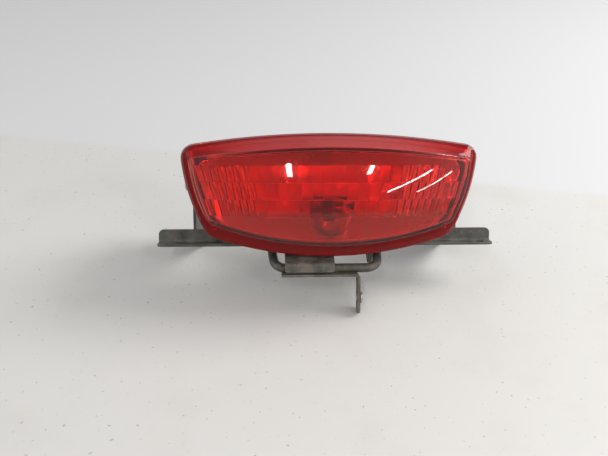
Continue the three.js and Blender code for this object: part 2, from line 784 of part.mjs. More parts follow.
// The spring at its pressed length, so that the carrier clears it at the end of its travel.
function springSolid() {
  const front = carrierRear + BULB_TRAVEL + SPRING_WIRE + GAP;
  const rear = holderBoreEnd - SPRING_WIRE - GAP;
  const points = [];
  const steps = SPRING_TURNS * 12;
  for (let i = 0; i <= steps; i += 1) {
    const angle = (2 * Math.PI * SPRING_TURNS * i) / steps;
    const y = front + ((rear - front) * i) / steps;
    points.push(new THREE.Vector3(SPRING_RADIUS * Math.cos(angle), y, SPRING_RADIUS * Math.sin(angle)));
  }
  const section = new THREE.Shape();
  section.absarc(0, 0, SPRING_WIRE, 0, 2 * Math.PI);
  const geometry = new THREE.ExtrudeGeometry(section, {
    steps,
    curveSegments: 3,
    bevelEnabled: false,
    extrudePath: new THREE.CatmullRomCurve3(points),
  });
  return solidOf(geometry);
}

// The bulb's brass cap with its two staggered pins.
function capSolid() {
  const cupFloor = CAP_FRONT + 6;
  let cap = turned([
    [0, cupFloor],
    [CAP_RADIUS - CAP_WALL, cupFloor],
    [CAP_RADIUS - CAP_WALL, CAP_FRONT],
    [CAP_RADIUS, CAP_FRONT],
    [CAP_RADIUS, CAP_BASE - 0.8],
    [CAP_RADIUS - 0.8, CAP_BASE],
    [0, CAP_BASE],
  ], 28);
  [0, 1].forEach((pin) => {
    const matrix = new THREE.Matrix4().makeRotationY(Math.PI * pin);
    matrix.setPosition(0, pinY - pin * PIN_STEP, 0);
    matrix.multiply(yToX);
    cap = cap.add(rodAt(PIN_RADIUS, CAP_RADIUS - CAP_WALL, CAP_RADIUS + PIN_REACH, matrix, 10));
  });
  return cap;
}

function insulatorSolid() {
  return turned([
    [0, CAP_BASE + GAP],
    [CAP_RADIUS - 1, CAP_BASE + GAP],
    [CAP_RADIUS - 1.6, insulatorRear],
    [0, insulatorRear],
  ], 20);
}

// The glass envelope: a neck in the cap and a ball, open at the neck.
function glassSolid() {
  const neckEnd = CAP_FRONT + 6 - GAP;
  const wall = (radius, centre, neck) => {
    const points = [[neck, neckEnd], [neck, CAP_FRONT - 1]];
    const start = Math.asin(neck / radius) + 0.35;
    for (let i = 0; i <= 7; i += 1) {
      const angle = start + ((Math.PI - start) * i) / 7;
      points.push([Math.max(radius * Math.sin(angle), 0), centre + radius * Math.cos(angle)]);
    }
    points[points.length - 1][0] = 0;
    return points;
  };
  const outer = wall(GLASS_RADIUS, GLASS_CENTRE, GLASS_NECK);
  const inner = wall(GLASS_RADIUS - GLASS_WALL, GLASS_CENTRE, GLASS_NECK - GLASS_WALL);
  return turned([...outer, ...inner.reverse()], 24);
}

function stemSolid() {
  const foot = CAP_FRONT + 6 - 2 * GAP;
  return turned([
    [0, foot],
    [GLASS_NECK - GLASS_WALL - 1.2, foot],
    [2.4, foot - 5],
    [2, foot - 15],
    [0, foot - 15],
  ], 14);
}

// Two posts and the coil between them.
function filamentSolid(reach, offset) {
  const foot = CAP_FRONT + 6 - 2 * GAP - 15 - GAP;
  const tip = foot - reach;
  const post = (x) => rodAt(0.35, tip, foot, new THREE.Matrix4().makeTranslation(x, 0, offset), 6);
  const across = new THREE.Matrix4().makeTranslation(0, tip, offset).multiply(yToX);
  const coil = rodAt(0.6, -FILAMENT_SPAN, FILAMENT_SPAN, across, 8);
  const foothold = rodAt(0.4, -FILAMENT_SPAN, FILAMENT_SPAN,
    new THREE.Matrix4().makeTranslation(0, foot - 0.4, offset).multiply(yToX), 6);
  return post(-FILAMENT_SPAN + 0.3).add(post(FILAMENT_SPAN - 0.3)).add(coil).add(foothold);
}

// ---------------------------------------------------------------- bracket

function crossbarSolid() {
  const half = CROSSBAR_LENGTH / 2;
  const notch = neckRadius + 2;
  const notchFloor = bulbHeight - neckRadius - 2 * GAP;
  const wall = roundedShape([
    [-half, -SHEET],
    [half, -SHEET],
    [half, WALL_HEIGHT, WALL_CORNER],
    [notch, WALL_HEIGHT, 2],
    [notch, notchFloor, 2],
    [-notch, notchFloor, 2],
    [-notch, WALL_HEIGHT, 2],
    [-half, WALL_HEIGHT, WALL_CORNER],
  ]);
  const flange = roundedShape([
    [-half, -FLANGE_DEPTH, EAR_CORNER],
    [half, -FLANGE_DEPTH, EAR_CORNER],
    [half, SHEET],
    [-half, SHEET],
  ]);
  [-1, 1].forEach((side) => {
    const hole = new THREE.Path();
    hole.absarc((side * EAR_HOLE_SPACING) / 2, -FLANGE_DEPTH / 2, EAR_HOLE_RADIUS, 0, 2 * Math.PI);
    flange.holes.push(hole);
  });
  return sheet(wall, acrossY, 0, SHEET, 4).add(sheet(flange, acrossZ, -SHEET, 0, 10));
}

const footBack = CHEEK_DEPTH - FOOT_RADIUS;
const footHeight = FOOT_RADIUS - FOOT_DROP;

function cheekSolid(side) {
  const front = SHEET + GAP;
  const shape = roundedShape([
    [front, -SHEET],
    [footBack - 3 * FOOT_RADIUS, -FOOT_DROP + FOOT_RADIUS, 8],
    [footBack, -FOOT_DROP, 0],
    [CHEEK_DEPTH, -FOOT_DROP + FOOT_RADIUS, 0],
    [CHEEK_DEPTH, 6, 6],
    [SIDE_BOLT_BACK + BUSH_RADIUS + 4, SIDE_BOLT_HEIGHT, 6],
    [SIDE_BOLT_BACK + 8, CHEEK_HEIGHT, 6],
    [front, CHEEK_HEIGHT - 4, 8],
  ]);
  const hole = new THREE.Path();
  hole.absarc(SIDE_BOLT_BACK, SIDE_BOLT_HEIGHT, BUSH_HOLE, 0, 2 * Math.PI);
  shape.holes.push(hole);
  const near = side * CHEEK_INNER;
  const far = side * (CHEEK_INNER + CHEEK_SHEET);
  const plate = sheet(shape, acrossX, Math.min(near, far), Math.max(near, far), 8);
  const matrix = new THREE.Matrix4().makeTranslation(0, footBack, footHeight).multiply(yToX);
  const pad = rodAt(FOOT_RADIUS, Math.min(near, far), Math.max(near, far), matrix, 24);
  return plate.add(pad);
}

// Side fixings are turned about Y and laid along X by their group, head outwards.
function bushSolid() {
  const inner = CHEEK_INNER - GAP;
  const outer = CHEEK_INNER + CHEEK_SHEET + GAP;
  const bore = SIDE_BOLT_RADIUS + SLEEVE_WALL + 2 * GAP;
  return turned([
    [bore, inner - BUSH_LIP],
    [BUSH_RADIUS - BUSH_EDGE, inner - BUSH_LIP],
    [BUSH_RADIUS, inner - BUSH_LIP + BUSH_EDGE],
    [BUSH_RADIUS, inner],
    [BUSH_HOLE - GAP, inner],
    [BUSH_HOLE - GAP, outer],
    [BUSH_RADIUS, outer],
    [BUSH_RADIUS, outer + BUSH_LIP - BUSH_EDGE],
    [BUSH_RADIUS - BUSH_EDGE, outer + BUSH_LIP],
    [bore, outer + BUSH_LIP],
  ], 18);
}

const bushOuter = CHEEK_INNER + CHEEK_SHEET + GAP + BUSH_LIP;
const washerInner = bushOuter + GAP;
const headInner = washerInner + WASHER_THICKNESS + GAP;

function sleeveSolid() {
  const bore = SIDE_BOLT_RADIUS + GAP;
  return turned([
    [bore, bossOuter + GAP],
    [bore + SLEEVE_WALL, bossOuter + GAP],
    [bore + SLEEVE_WALL, bushOuter],
    [bore, bushOuter],
  ], 20);
}

function washerSolid() {
  const bore = SIDE_BOLT_RADIUS + GAP;
  return turned([
    [bore, washerInner],
    [WASHER_RADIUS, washerInner],
    [WASHER_RADIUS, washerInner + WASHER_THICKNESS],
    [bore, washerInner + WASHER_THICKNESS],
  ], 24);
}

function sideBoltSolid() {
  const tip = bossOuter - SIDE_BOLT_GRIP + 2 * GAP;
  const shank = rod(SIDE_BOLT_RADIUS, tip, headInner + PAST, 16);
  const head = rod(HEX_RADIUS, headInner, headInner + HEX_HEIGHT, 6);
  return shank.add(head);
}

// ---------------------------------------------------------------- loop, strap and tab

const flangeUnder = -SHEET - GAP;
const loopRise = LOOP_DROP + flangeUnder;
const legTop = -FLANGE_DEPTH / 3;

function loopBarSolid() {
  const low = (side) => new THREE.Vector3(LOOP_CENTRE + side * LOOP_HALF_RUN, LOOP_FRONT, -LOOP_DROP);
  const high = (side) => new THREE.Vector3(
    LOOP_CENTRE + side * (LOOP_HALF_RUN + LOOP_SPREAD),
    legTop,
    -LOOP_DROP + loopRise * 0.93,
  );
  const path = new THREE.CurvePath();
  const towards = (from, to, distance) => from.clone().add(to.clone().sub(from).setLength(distance));
  const leftLeg = towards(low(-1), high(-1), BAR_BEND);
  const leftRun = towards(low(-1), low(1), BAR_BEND);
  const rightRun = towards(low(1), low(-1), BAR_BEND);
  const rightLeg = towards(low(1), high(1), BAR_BEND);
  path.add(new THREE.LineCurve3(high(-1), leftLeg));
  path.add(new THREE.QuadraticBezierCurve3(leftLeg, low(-1), leftRun));
  path.add(new THREE.LineCurve3(leftRun, rightRun));
  path.add(new THREE.QuadraticBezierCurve3(rightRun, low(1), rightLeg));
  path.add(new THREE.LineCurve3(rightLeg, high(1)));
  const section = new THREE.Shape();
  section.absarc(0, 0, BAR_RADIUS, 0, 2 * Math.PI);
  const bar = solidOf(new THREE.ExtrudeGeometry(section, {
    steps: 38,
    curveSegments: 5,
    bevelEnabled: false,
    extrudePath: path,
  }));
  const reach = LOOP_HALF_RUN + LOOP_SPREAD + 10;
  const above = block([LOOP_CENTRE - reach, -FLANGE_DEPTH - 5, flangeUnder], [LOOP_CENTRE + reach, 10, 10]);
  return bar.subtract(above);
}

function strapSolid() {
  const half = SHEET / 2;
  const lipFront = LOOP_FRONT - BAR_RADIUS - GAP - 0.2 - half;
  const bend = -LOOP_DROP + BAR_RADIUS + GAP + half;
  const line = [
    [-FLANGE_DEPTH / 4, flangeUnder - half],
    [-FLANGE_DEPTH - 0.5, flangeUnder - half],
    [lipFront, bend - 0.5],
    [lipFront, bend - 0.5 - STRAP_LIP],
  ];
  return sheet(stripShape(line, SHEET), acrossX, STRAP_LEFT, STRAP_LEFT + STRAP_WIDTH);
}

// A plate inside the right leg, from the end of the leg's bend up to the flange.
function gussetSolid() {
  const leg = new THREE.Vector2(legTop - LOOP_FRONT, loopRise);
  const legX = LOOP_CENTRE + LOOP_HALF_RUN + (LOOP_SPREAD * BAR_BEND) / leg.length();
  const right = legX - BAR_RADIUS - GAP;
  const along = leg.clone().normalize();
  const up = new THREE.Vector2(-along.y, along.x);
  const start = new THREE.Vector2(LOOP_FRONT, -LOOP_DROP).addScaledVector(along, BAR_BEND);
  const a = start.clone().addScaledVector(up, GUSSET_WIDTH / 2);
  const b = start.clone().addScaledVector(up, -GUSSET_WIDTH / 2);
  const rise = flangeUnder - a.y;
  const shape = new THREE.Shape([
    a,
    b,
    new THREE.Vector2(-1, b.y + ((-1 - b.x) * along.y) / along.x),
    new THREE.Vector2(-1, flangeUnder),
    new THREE.Vector2(a.x + (rise * along.x) / along.y, flangeUnder),
  ]);
  return sheet(shape, acrossX, right - GUSSET_THICKNESS, right);
}

const tabTop = -LOOP_DROP - BAR_RADIUS - GAP;
const tabBack = LOOP_FRONT + TAB_WIDTH / 2;
const tabFront = tabBack - TAB_WIDTH;
const tabEndHeight = -TAB_DROP + TAB_WIDTH / 2;
const nutPlace = new THREE.Vector3(TAB_RIGHT, (tabFront + tabBack) / 2, -TAB_DROP + NUT_HEIGHT);

function tabSolid() {
  const arm = block([TAB_LEFT, tabFront, tabTop - TAB_SHEET], [TAB_RIGHT, tabBack, tabTop]);
  const blade = new THREE.Shape();
  blade.moveTo(tabBack, tabTop);
  blade.lineTo(tabFront, tabTop);
  blade.lineTo(tabFront, tabEndHeight);
  blade.absarc((tabFront + tabBack) / 2, tabEndHeight, TAB_WIDTH / 2, Math.PI, 2 * Math.PI);
  blade.closePath();
  const hole = new THREE.Path();
  hole.absarc(nutPlace.y, nutPlace.z, NUT_RADIUS * 0.65 + GAP, 0, 2 * Math.PI);
  blade.holes.push(hole);
  return arm.add(sheet(blade, acrossX, TAB_RIGHT - TAB_SHEET, TAB_RIGHT, 10));
}

// A clinch nut along Y, its collar outside the tab and its barrel through the hole.
function nutSolid() {
  return turned([
    [NUT_BORE, -TAB_SHEET - 0.5],
    [NUT_RADIUS * 0.65, -TAB_SHEET - 0.5],
    [NUT_RADIUS * 0.65, GAP],
    [NUT_RADIUS, GAP],
    [NUT_RADIUS, GAP + 1.6],
    [NUT_BORE, GAP + 1.6],
  ], 20);
}

// ---------------------------------------------------------------- assembly

const lamp = new THREE.Group();

piece(lamp, 'bracket_crossbar', crossbarSolid(), paintedSteel);
piece(lamp, 'loop_bar', loopBarSolid(), paintedSteel);
piece(lamp, 'loop_strap', strapSolid(), wornSteel);
piece(lamp, 'loop_gusset', gussetSolid(), wornSteel);
piece(lamp, 'tab_strip', tabSolid(), wornSteel);
const nut = piece(lamp, 'tab_clinch_nut', nutSolid(), zincSteel);
nut.rotation.z = -Math.PI / 2;
nut.position.copy(nutPlace);

piece(lamp, 'rear_housing', housingSolid(), blackPlastic);
piece(lamp, 'lens_gasket', gasketSolid(), rubber);
piece(lamp, 'reflector', reflectorSolid(), mirror);
piece(lamp, 'lens', lensSolid(), redLens);
screwPlaces.forEach(({ x, z }, i) => {
  const screw = piece(lamp, `lens_screw_${i + 1}`, lensScrewSolid(), zincSteel);
  screw.position.set(x, 0, z);
});

[['left', -1], ['right', 1]].forEach(([word, side]) => {
  piece(lamp, `side_cheek_${word}`, cheekSolid(side), paintedSteel);
  const fixing = new THREE.Group();
  fixing.position.set(0, SIDE_BOLT_BACK, SIDE_BOLT_HEIGHT);
  fixing.rotation.z = (-side * Math.PI) / 2;
  lamp.add(fixing);
  piece(fixing, `side_bush_${word}`, bushSolid(), rubber);
  piece(fixing, `side_sleeve_${word}`, sleeveSolid(), zincSteel);
  piece(fixing, `side_washer_${word}`, washerSolid(), zincSteel);
  piece(fixing, `side_bolt_${word}`, sideBoltSolid(), zincSteel);
});

const bulbAxisGroup = new THREE.Group();
bulbAxisGroup.position.z = bulbHeight;
lamp.add(bulbAxisGroup);
piece(bulbAxisGroup, 'holder_body', holderSolid(), blackPlastic);
piece(bulbAxisGroup, 'holder_seal', sealSolid(), rubber);
piece(bulbAxisGroup, 'wire_boot', bootSolid(), rubber);
piece(bulbAxisGroup, 'bulb_socket', socketSolid(), brass);
piece(bulbAxisGroup, 'carrier_spring', springSolid(), zincSteel);
piece(bulbAxisGroup, 'contact_carrier', carrierSolid(), phenolic);
piece(bulbAxisGroup, 'bulb_cap', capSolid(), brass);
piece(bulbAxisGroup, 'bulb_insulator', insulatorSolid(), blackPlastic);
piece(bulbAxisGroup, 'bulb_glass', glassSolid(), clearGlass);
piece(bulbAxisGroup, 'bulb_stem', stemSolid(), clearGlass);
[['tail', -1], ['stop', 1]].forEach(([word, side]) => {
  const carrierContact = contactSolid(carrierContactFront, carrierFront - GAP);
  const bulbContact = contactSolid(insulatorRear + GAP, bulbContactRear);
  const pad = piece(bulbAxisGroup, `carrier_contact_${word}`, carrierContact, brass);
  const button = piece(bulbAxisGroup, `bulb_contact_${word}`, bulbContact, solder);
  pad.position.x = side * CONTACT_SPREAD;
  button.position.x = side * CONTACT_SPREAD;
});
piece(bulbAxisGroup, 'filament_tail', filamentSolid(5, -1.6), tungsten);
piece(bulbAxisGroup, 'filament_stop', filamentSolid(8, 1.6), tungsten);

// Tips the lamp back until the round tab end and the round cheek feet touch one plane.
function restingTilt() {
  const dy = footBack - (tabFront + tabBack) / 2;
  const dz = footHeight - tabEndHeight;
  const dr = FOOT_RADIUS - TAB_WIDTH / 2;
  return Math.acos(dr / Math.hypot(dy, dz)) - Math.atan2(dy, dz);
}

lamp.rotation.x = -restingTilt();

const group = new THREE.Group();
group.add(lamp);
group.updateMatrixWorld(true);
const box = new THREE.Box3().setFromObject(group, true);
lamp.position.set(-(box.min.x + box.max.x) / 2, -(box.min.y + box.max.y) / 2, -box.min.z);
group.updateMatrixWorld(true);

export default group;
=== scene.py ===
import json
import math

import bmesh
import bpy
from mathutils import Matrix, Vector


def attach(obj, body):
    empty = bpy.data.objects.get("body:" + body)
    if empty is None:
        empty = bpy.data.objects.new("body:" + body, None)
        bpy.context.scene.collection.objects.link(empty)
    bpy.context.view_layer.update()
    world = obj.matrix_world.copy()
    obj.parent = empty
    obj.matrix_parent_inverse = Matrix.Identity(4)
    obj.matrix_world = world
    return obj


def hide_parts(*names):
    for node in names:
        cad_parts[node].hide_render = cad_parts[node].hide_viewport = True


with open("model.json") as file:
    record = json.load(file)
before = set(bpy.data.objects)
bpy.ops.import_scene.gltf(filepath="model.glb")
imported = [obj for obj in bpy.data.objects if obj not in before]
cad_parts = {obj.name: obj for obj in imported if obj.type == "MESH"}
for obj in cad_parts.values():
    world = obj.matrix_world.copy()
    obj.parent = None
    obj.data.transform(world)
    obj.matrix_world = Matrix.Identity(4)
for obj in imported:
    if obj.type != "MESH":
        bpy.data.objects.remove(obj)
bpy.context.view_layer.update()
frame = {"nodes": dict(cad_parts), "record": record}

# ---------------------------------------------------------------- how the lamp leans
# The lamp is drawn square in millimetres, X along its crossbar, Y away from the viewer, Z up,
# from the corner where the crossbar's wall meets its flange. On the table it leans back on its
# tab and cheek feet; the bulb holder's axis gives the lean and the place.
MM = 0.001
BULB_HEIGHT = 20.0
twist = {joint["name"]: joint for joint in frame["record"]["behaviour"]["joints"]}["holder_twist"]
lamp_back = Vector(twist["axis"]).normalized()
lamp_right = Vector((1, 0, 0))
lamp_up = lamp_right.cross(lamp_back)
lamp_origin = Vector(twist["pos_m"]) - lamp_up * BULB_HEIGHT * MM
LAMP = Matrix.Translation(lamp_origin) @ Matrix((lamp_right, lamp_back, lamp_up)).transposed().to_4x4()
LAMP_MM = LAMP @ Matrix.Scale(MM, 4)

# ---------------------------------------------------------------- camera
# A hand-held view from just left of the lamp's middle, looking a little down on its face.
EYE = Vector((-36.0, -443.2, 71.5))
LOOK_DOWN = math.radians(8.0)
LOOK_RIGHT = math.radians(2.7)
FOCAL_LENGTH = 38.66
eye_turn = Matrix.Rotation(-LOOK_RIGHT, 4, "Z") @ Matrix.Rotation(math.pi / 2 - LOOK_DOWN, 4, "X")
camera_data = bpy.data.cameras.new("camera")
camera_data.lens = FOCAL_LENGTH
camera_data.sensor_width = 36.0
camera_data.clip_start = 0.01
camera = bpy.data.objects.new("camera", camera_data)
camera.matrix_world = LAMP @ Matrix.Translation(EYE * MM) @ eye_turn
bpy.context.collection.objects.link(camera)
bpy.context.scene.camera = camera


# ---------------------------------------------------------------- table and light
# A pale matt table ends at a pale wall. A large window at the right, a weak one at the left and
# the room's bright sides and back light it; two panes and two slanting tubes before the lamp
# make the glints on its lens.
def add_node(tree, kind, inputs=(), **settings):
    node = tree.nodes.new(kind)
    for key, value in settings.items():
        setattr(node, key, value)
    for key, value in dict(inputs).items():
        if isinstance(value, bpy.types.NodeSocket):
            tree.links.new(value, node.inputs[key])
        else:
            node.inputs[key].default_value = value
    return node


def noise(tree, place, scale, detail, roughness=0.5):
    return add_node(tree, "ShaderNodeTexNoise", {
        "Vector": place, "Scale": scale, "Detail": detail, "Roughness": roughness}).outputs["Fac"]


def ramp(tree, value, low=0.0, high=1.0, start=0.0, end=1.0):
    """Carries the range from low to high over to start to end, and holds the ends."""
    return add_node(tree, "ShaderNodeMapRange", {
        "Value": value, "From Min": low, "From Max": high, "To Min": start, "To Max": end}).outputs["Result"]


def figure(tree, operation, *values, clamp=False):
    node = add_node(tree, "ShaderNodeMath", dict(enumerate(values)), operation=operation, use_clamp=clamp)
    return node.outputs[0]


def mixed(tree, factor, first, second, kind="RGBA"):
    node = add_node(tree, "ShaderNodeMix", {"Factor": factor, "A": first, "B": second}, data_type=kind)
    return node.outputs["Result"]


def new_material(name, **values):
    material = bpy.data.materials.new(name)
    material.use_nodes = True
    shader = material.node_tree.nodes["Principled BSDF"]
    for key, value in values.items():
        shader.inputs[key.replace("_", " ").title()].default_value = value
    return material, material.node_tree, shader


TABLE_COLOUR = (0.53, 0.515, 0.492, 1)
TABLE_STAIN = (0.36, 0.33, 0.29, 1)
WALL_COLOUR = (0.54, 0.535, 0.535, 1)
TABLE_END = 0.149
TABLE_SLANT = 0.21
CORNER_BLUR = 0.008
table_paint, tree, shader = new_material("table_paint", roughness=0.6)
place = add_node(tree, "ShaderNodeTexCoord").outputs["Object"]
faint = ramp(tree, noise(tree, place, 14.0, 8.0, 0.6), 0.5, 0.85, end=0.3)
specks = ramp(tree, noise(tree, place, 330.0, 2.0), 0.695, 0.72)
stained = mixed(tree, figure(tree, "MAXIMUM", faint, specks), TABLE_COLOUR, TABLE_STAIN)
along = add_node(tree, "ShaderNodeSeparateXYZ", {0: place})
slanted = figure(tree, "MULTIPLY_ADD", along.outputs["X"], TABLE_SLANT, along.outputs["Y"])
beyond = ramp(tree, slanted, TABLE_END, TABLE_END + CORNER_BLUR)
tree.links.new(mixed(tree, beyond, stained, WALL_COLOUR), shader.inputs["Base Color"])

TABLE_REACH = 2.5
table_mesh = bpy.data.meshes.new("table")
table_corners = [(x * TABLE_REACH, y * TABLE_REACH, 0) for x, y in ((-1, -1), (1, -1), (1, 1), (-1, 1))]
table_mesh.from_pydata(table_corners, [], [(0, 1, 2, 3)])
table = bpy.data.objects.new("table", table_mesh)
table_mesh.materials.append(table_paint)
bpy.context.collection.objects.link(table)


def window_light(name, place, size, power, colour=(1, 1, 1), aim=(0, 0, 0.05), along=(1, 0, 0)):
    """A soft oblong light at a place that faces aim, with its length laid along a direction."""
    data = bpy.data.lights.new(name, "AREA")
    data.shape = "RECTANGLE"
    data.size, data.size_y = size
    data.energy = power
    data.color = colour
    light = bpy.data.objects.new(name, data)
    away = (Vector(place) - Vector(aim)).normalized()
    upward = away.cross(Vector(along)).normalized()
    turn = Matrix((upward.cross(away), upward, away)).transposed().to_4x4()
    light.matrix_world = Matrix.Translation(place) @ turn
    bpy.context.collection.objects.link(light)


window_light("window_key", (1.15, 0.22, 0.95), (0.7, 0.6), 19.0, (1.0, 0.995, 0.98))
window_light("window_left", (-1.5, -0.1, 0.7), (0.9, 0.9), 1.6, (0.97, 0.985, 1.0))
window_light("pane_left", (-0.213, -0.72, 0.79), (0.035, 0.26), 2.0, aim=(-0.026, -0.025, 0.099))
window_light("pane_right", (0.343, -0.688, 0.776), (0.03, 0.17), 1.0, aim=(0.022, -0.025, 0.099),
             along=(0.9, 0.0, -0.2))
window_light("tube_near", (0.585, -0.715, 0.512), (0.51, 0.013), 1.2, aim=(0.045, -0.026, 0.092),
             along=(0.265, 0.351, 0.264))
window_light("tube_far", (0.73, -0.64, 0.448), (0.44, 0.008), 0.5, aim=(0.062, -0.023, 0.09),
             along=(0.185, 0.323, 0.242))
world = bpy.data.worlds.new("room")
world.use_nodes = True
tree = world.node_tree
background = tree.nodes["Background"]
background.inputs["Color"].default_value = (0.97, 0.98, 1.0, 1)
outlook = add_node(tree, "ShaderNodeTexCoord").outputs["Generated"]
facing = add_node(tree, "ShaderNodeSeparateXYZ", {0: outlook})
sideways = figure(tree, "ABSOLUTE", facing.outputs["X"])
behind = figure(tree, "MULTIPLY_ADD", facing.outputs["Y"], 0.4, sideways)
rightward = figure(tree, "MULTIPLY_ADD", facing.outputs["X"], 0.12, behind)
below = figure(tree, "MULTIPLY_ADD", facing.outputs["Z"], -0.4, rightward)
tree.links.new(ramp(tree, below, 0.0, 0.8, 0.42, 1.32), background.inputs["Strength"])
bpy.context.scene.world = world
bpy.context.scene.view_settings.view_transform = "Standard"


# ---------------------------------------------------------------- crossbar
# One strip of 1.5 mm steel, punched flat with its two ear holes, folded lengthwise into a low
# wall and a forward flange, and painted black. The paint is worn, rusty and dusty.
def shader_group(name, inputs, outputs):
    group = bpy.data.node_groups.new(name, "ShaderNodeTree")
    for label, kind, value in inputs:
        socket = group.interface.new_socket(label, in_out="INPUT", socket_type=kind)
        socket.default_value = value
    for label, kind in outputs:
        group.interface.new_socket(label, in_out="OUTPUT", socket_type=kind)
    return group, group.nodes.new("NodeGroupInput"), group.nodes.new("NodeGroupOutput")


FLOAT, COLOUR = "NodeSocketFloat", "NodeSocketColor"
worn_finish, given, made = shader_group(
    "worn_finish",
    [("Finish Colour", COLOUR, (0.03, 0.03, 0.025, 1)), ("Bare Colour", COLOUR, (0.2, 0.19, 0.17, 1)),
     ("Rust Colour", COLOUR, (0.12, 0.06, 0.03, 1)), ("Finish Roughness", FLOAT, 0.45),
     ("Wear", FLOAT, 0.3), ("Rust", FLOAT, 0.3), ("Scale", FLOAT, 60.0)],
    [("Colour", COLOUR), ("Roughness", FLOAT), ("Height", FLOAT)])
spot = add_node(worn_finish, "ShaderNodeTexCoord").outputs["Object"]
patches = noise(worn_finish, spot, given.outputs["Scale"], 8.0, 0.65)
softened = add_node(worn_finish, "ShaderNodeBevel", {"Radius": 0.0006}, samples=4)
true_normal = add_node(worn_finish, "ShaderNodeNewGeometry").outputs["Normal"]
alike = add_node(worn_finish, "ShaderNodeVectorMath", {0: softened.outputs[0], 1: true_normal},
                 operation="DOT_PRODUCT")
edge = ramp(worn_finish, alike.outputs["Value"], 0.995, 0.93)
both = figure(worn_finish, "MAXIMUM", edge, ramp(worn_finish, patches, 0.56, 0.66))
bare = figure(worn_finish, "MULTIPLY", both, given.outputs["Wear"])
rust_spots = ramp(worn_finish, noise(worn_finish, spot, 140.0, 6.0), 0.5, 0.68)
rusty = figure(worn_finish, "MULTIPLY", rust_spots, given.outputs["Rust"])
scraped = mixed(worn_finish, bare, given.outputs["Finish Colour"], given.outputs["Bare Colour"])
rusted = mixed(worn_finish, rusty, scraped, given.outputs["Rust Colour"])
rougher = figure(worn_finish, "MULTIPLY_ADD", rusty, 0.4, given.outputs["Finish Roughness"])
grainy = figure(worn_finish, "MULTIPLY_ADD", noise(worn_finish, spot, 900.0, 3.0), 0.35, patches)
for label, result in (("Colour", rusted), ("Roughness", rougher), ("Height", grainy)):
    worn_finish.links.new(result, made.inputs[label])

DUST_ROUGHNESS = 0.9
settled_dust, given, made = shader_group(
    "settled_dust",
    [("Surface Colour", COLOUR, (0.1, 0.1, 0.1, 1)), ("Surface Roughness", FLOAT, 0.4),
     ("Dust Colour", COLOUR, (0.32, 0.29, 0.23, 1)), ("Amount", FLOAT, 0.5), ("Scale", FLOAT, 80.0)],
    [("Colour", COLOUR), ("Roughness", FLOAT)])
spot = add_node(settled_dust, "ShaderNodeTexCoord").outputs["Object"]
outward = add_node(settled_dust, "ShaderNodeNewGeometry").outputs["Normal"]
facing = add_node(settled_dust, "ShaderNodeSeparateXYZ", {0: outward})
upward = ramp(settled_dust, facing.outputs["Z"], -0.2, 0.9, 0.15)
clumps = ramp(settled_dust, noise(settled_dust, spot, given.outputs["Scale"], 7.0, 0.7), 0.38, 0.72)
lying = figure(settled_dust, "MULTIPLY", upward, clumps)
cover = figure(settled_dust, "MULTIPLY", lying, given.outputs["Amount"], clamp=True)
dusty = mixed(settled_dust, cover, given.outputs["Surface Colour"], given.outputs["Dust Colour"])
dull = mixed(settled_dust, cover, given.outputs["Surface Roughness"], DUST_ROUGHNESS, "FLOAT")
settled_dust.links.new(dusty, made.inputs["Colour"])
settled_dust.links.new(dull, made.inputs["Roughness"])


def surfaced(tree, shader, colour, roughness, dust, height, bump):
    """Lays dust over a colour and a roughness, and gives the shader those and a relief."""
    dusted = add_node(tree, "ShaderNodeGroup", {
        "Surface Colour": colour, "Surface Roughness": roughness, "Amount": dust}, node_tree=settled_dust)
    tree.links.new(dusted.outputs["Colour"], shader.inputs["Base Color"])
    tree.links.new(dusted.outputs["Roughness"], shader.inputs["Roughness"])
    relief = add_node(tree, "ShaderNodeBump", {"Height": height, "Distance": bump})
    tree.links.new(relief.outputs["Normal"], shader.inputs["Normal"])


def worn_material(name, colour, bare, rust, wear, rusting, roughness, dust, metallic=0.0, bump=0.00012):
    material, tree, shader = new_material(name, metallic=metallic)
    finish = add_node(tree, "ShaderNodeGroup", {
        "Finish Colour": (*colour, 1), "Bare Colour": (*bare, 1), "Rust Colour": (*rust, 1),
        "Finish Roughness": roughness, "Wear": wear, "Rust": rusting}, node_tree=worn_finish)
    surfaced(tree, shader, finish.outputs["Colour"], finish.outputs["Roughness"], dust,
             finish.outputs["Height"], bump)
    return material


black_paint = worn_material("black_paint", (0.026, 0.028, 0.022), (0.16, 0.15, 0.13), (0.1, 0.06, 0.035),
                            0.45, 0.35, 0.42, 0.5)


def finished(name, mesh, material, body="lamp", sharp=35.0, edge=0.0, nodes=()):
    """Merges a mesh, marks and rounds its sharp edges, and puts it in its nodes' place."""
    shape = bmesh.new()
    shape.from_mesh(mesh)
    bmesh.ops.remove_doubles(shape, verts=shape.verts, dist=1e-6)
    bmesh.ops.recalc_face_normals(shape, faces=shape.faces)
    for face in shape.faces:
        face.smooth = True
    for side in shape.edges:
        side.smooth = len(side.link_faces) == 2 and side.calc_face_angle(0.0) < math.radians(sharp)
    shape.to_mesh(mesh)
    shape.free()
    mesh.materials.clear()
    mesh.materials.append(material)
    piece = bpy.data.objects.new(name, mesh)
    bpy.context.collection.objects.link(piece)
    if edge > 0:
        rounding = piece.modifiers.new("rounding", "BEVEL")
        rounding.width = edge * MM
        rounding.segments = 2
        rounding.limit_method = "ANGLE"
        rounding.angle_limit = math.radians(sharp)
    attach(piece, body)
    if nodes:
        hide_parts(*nodes)


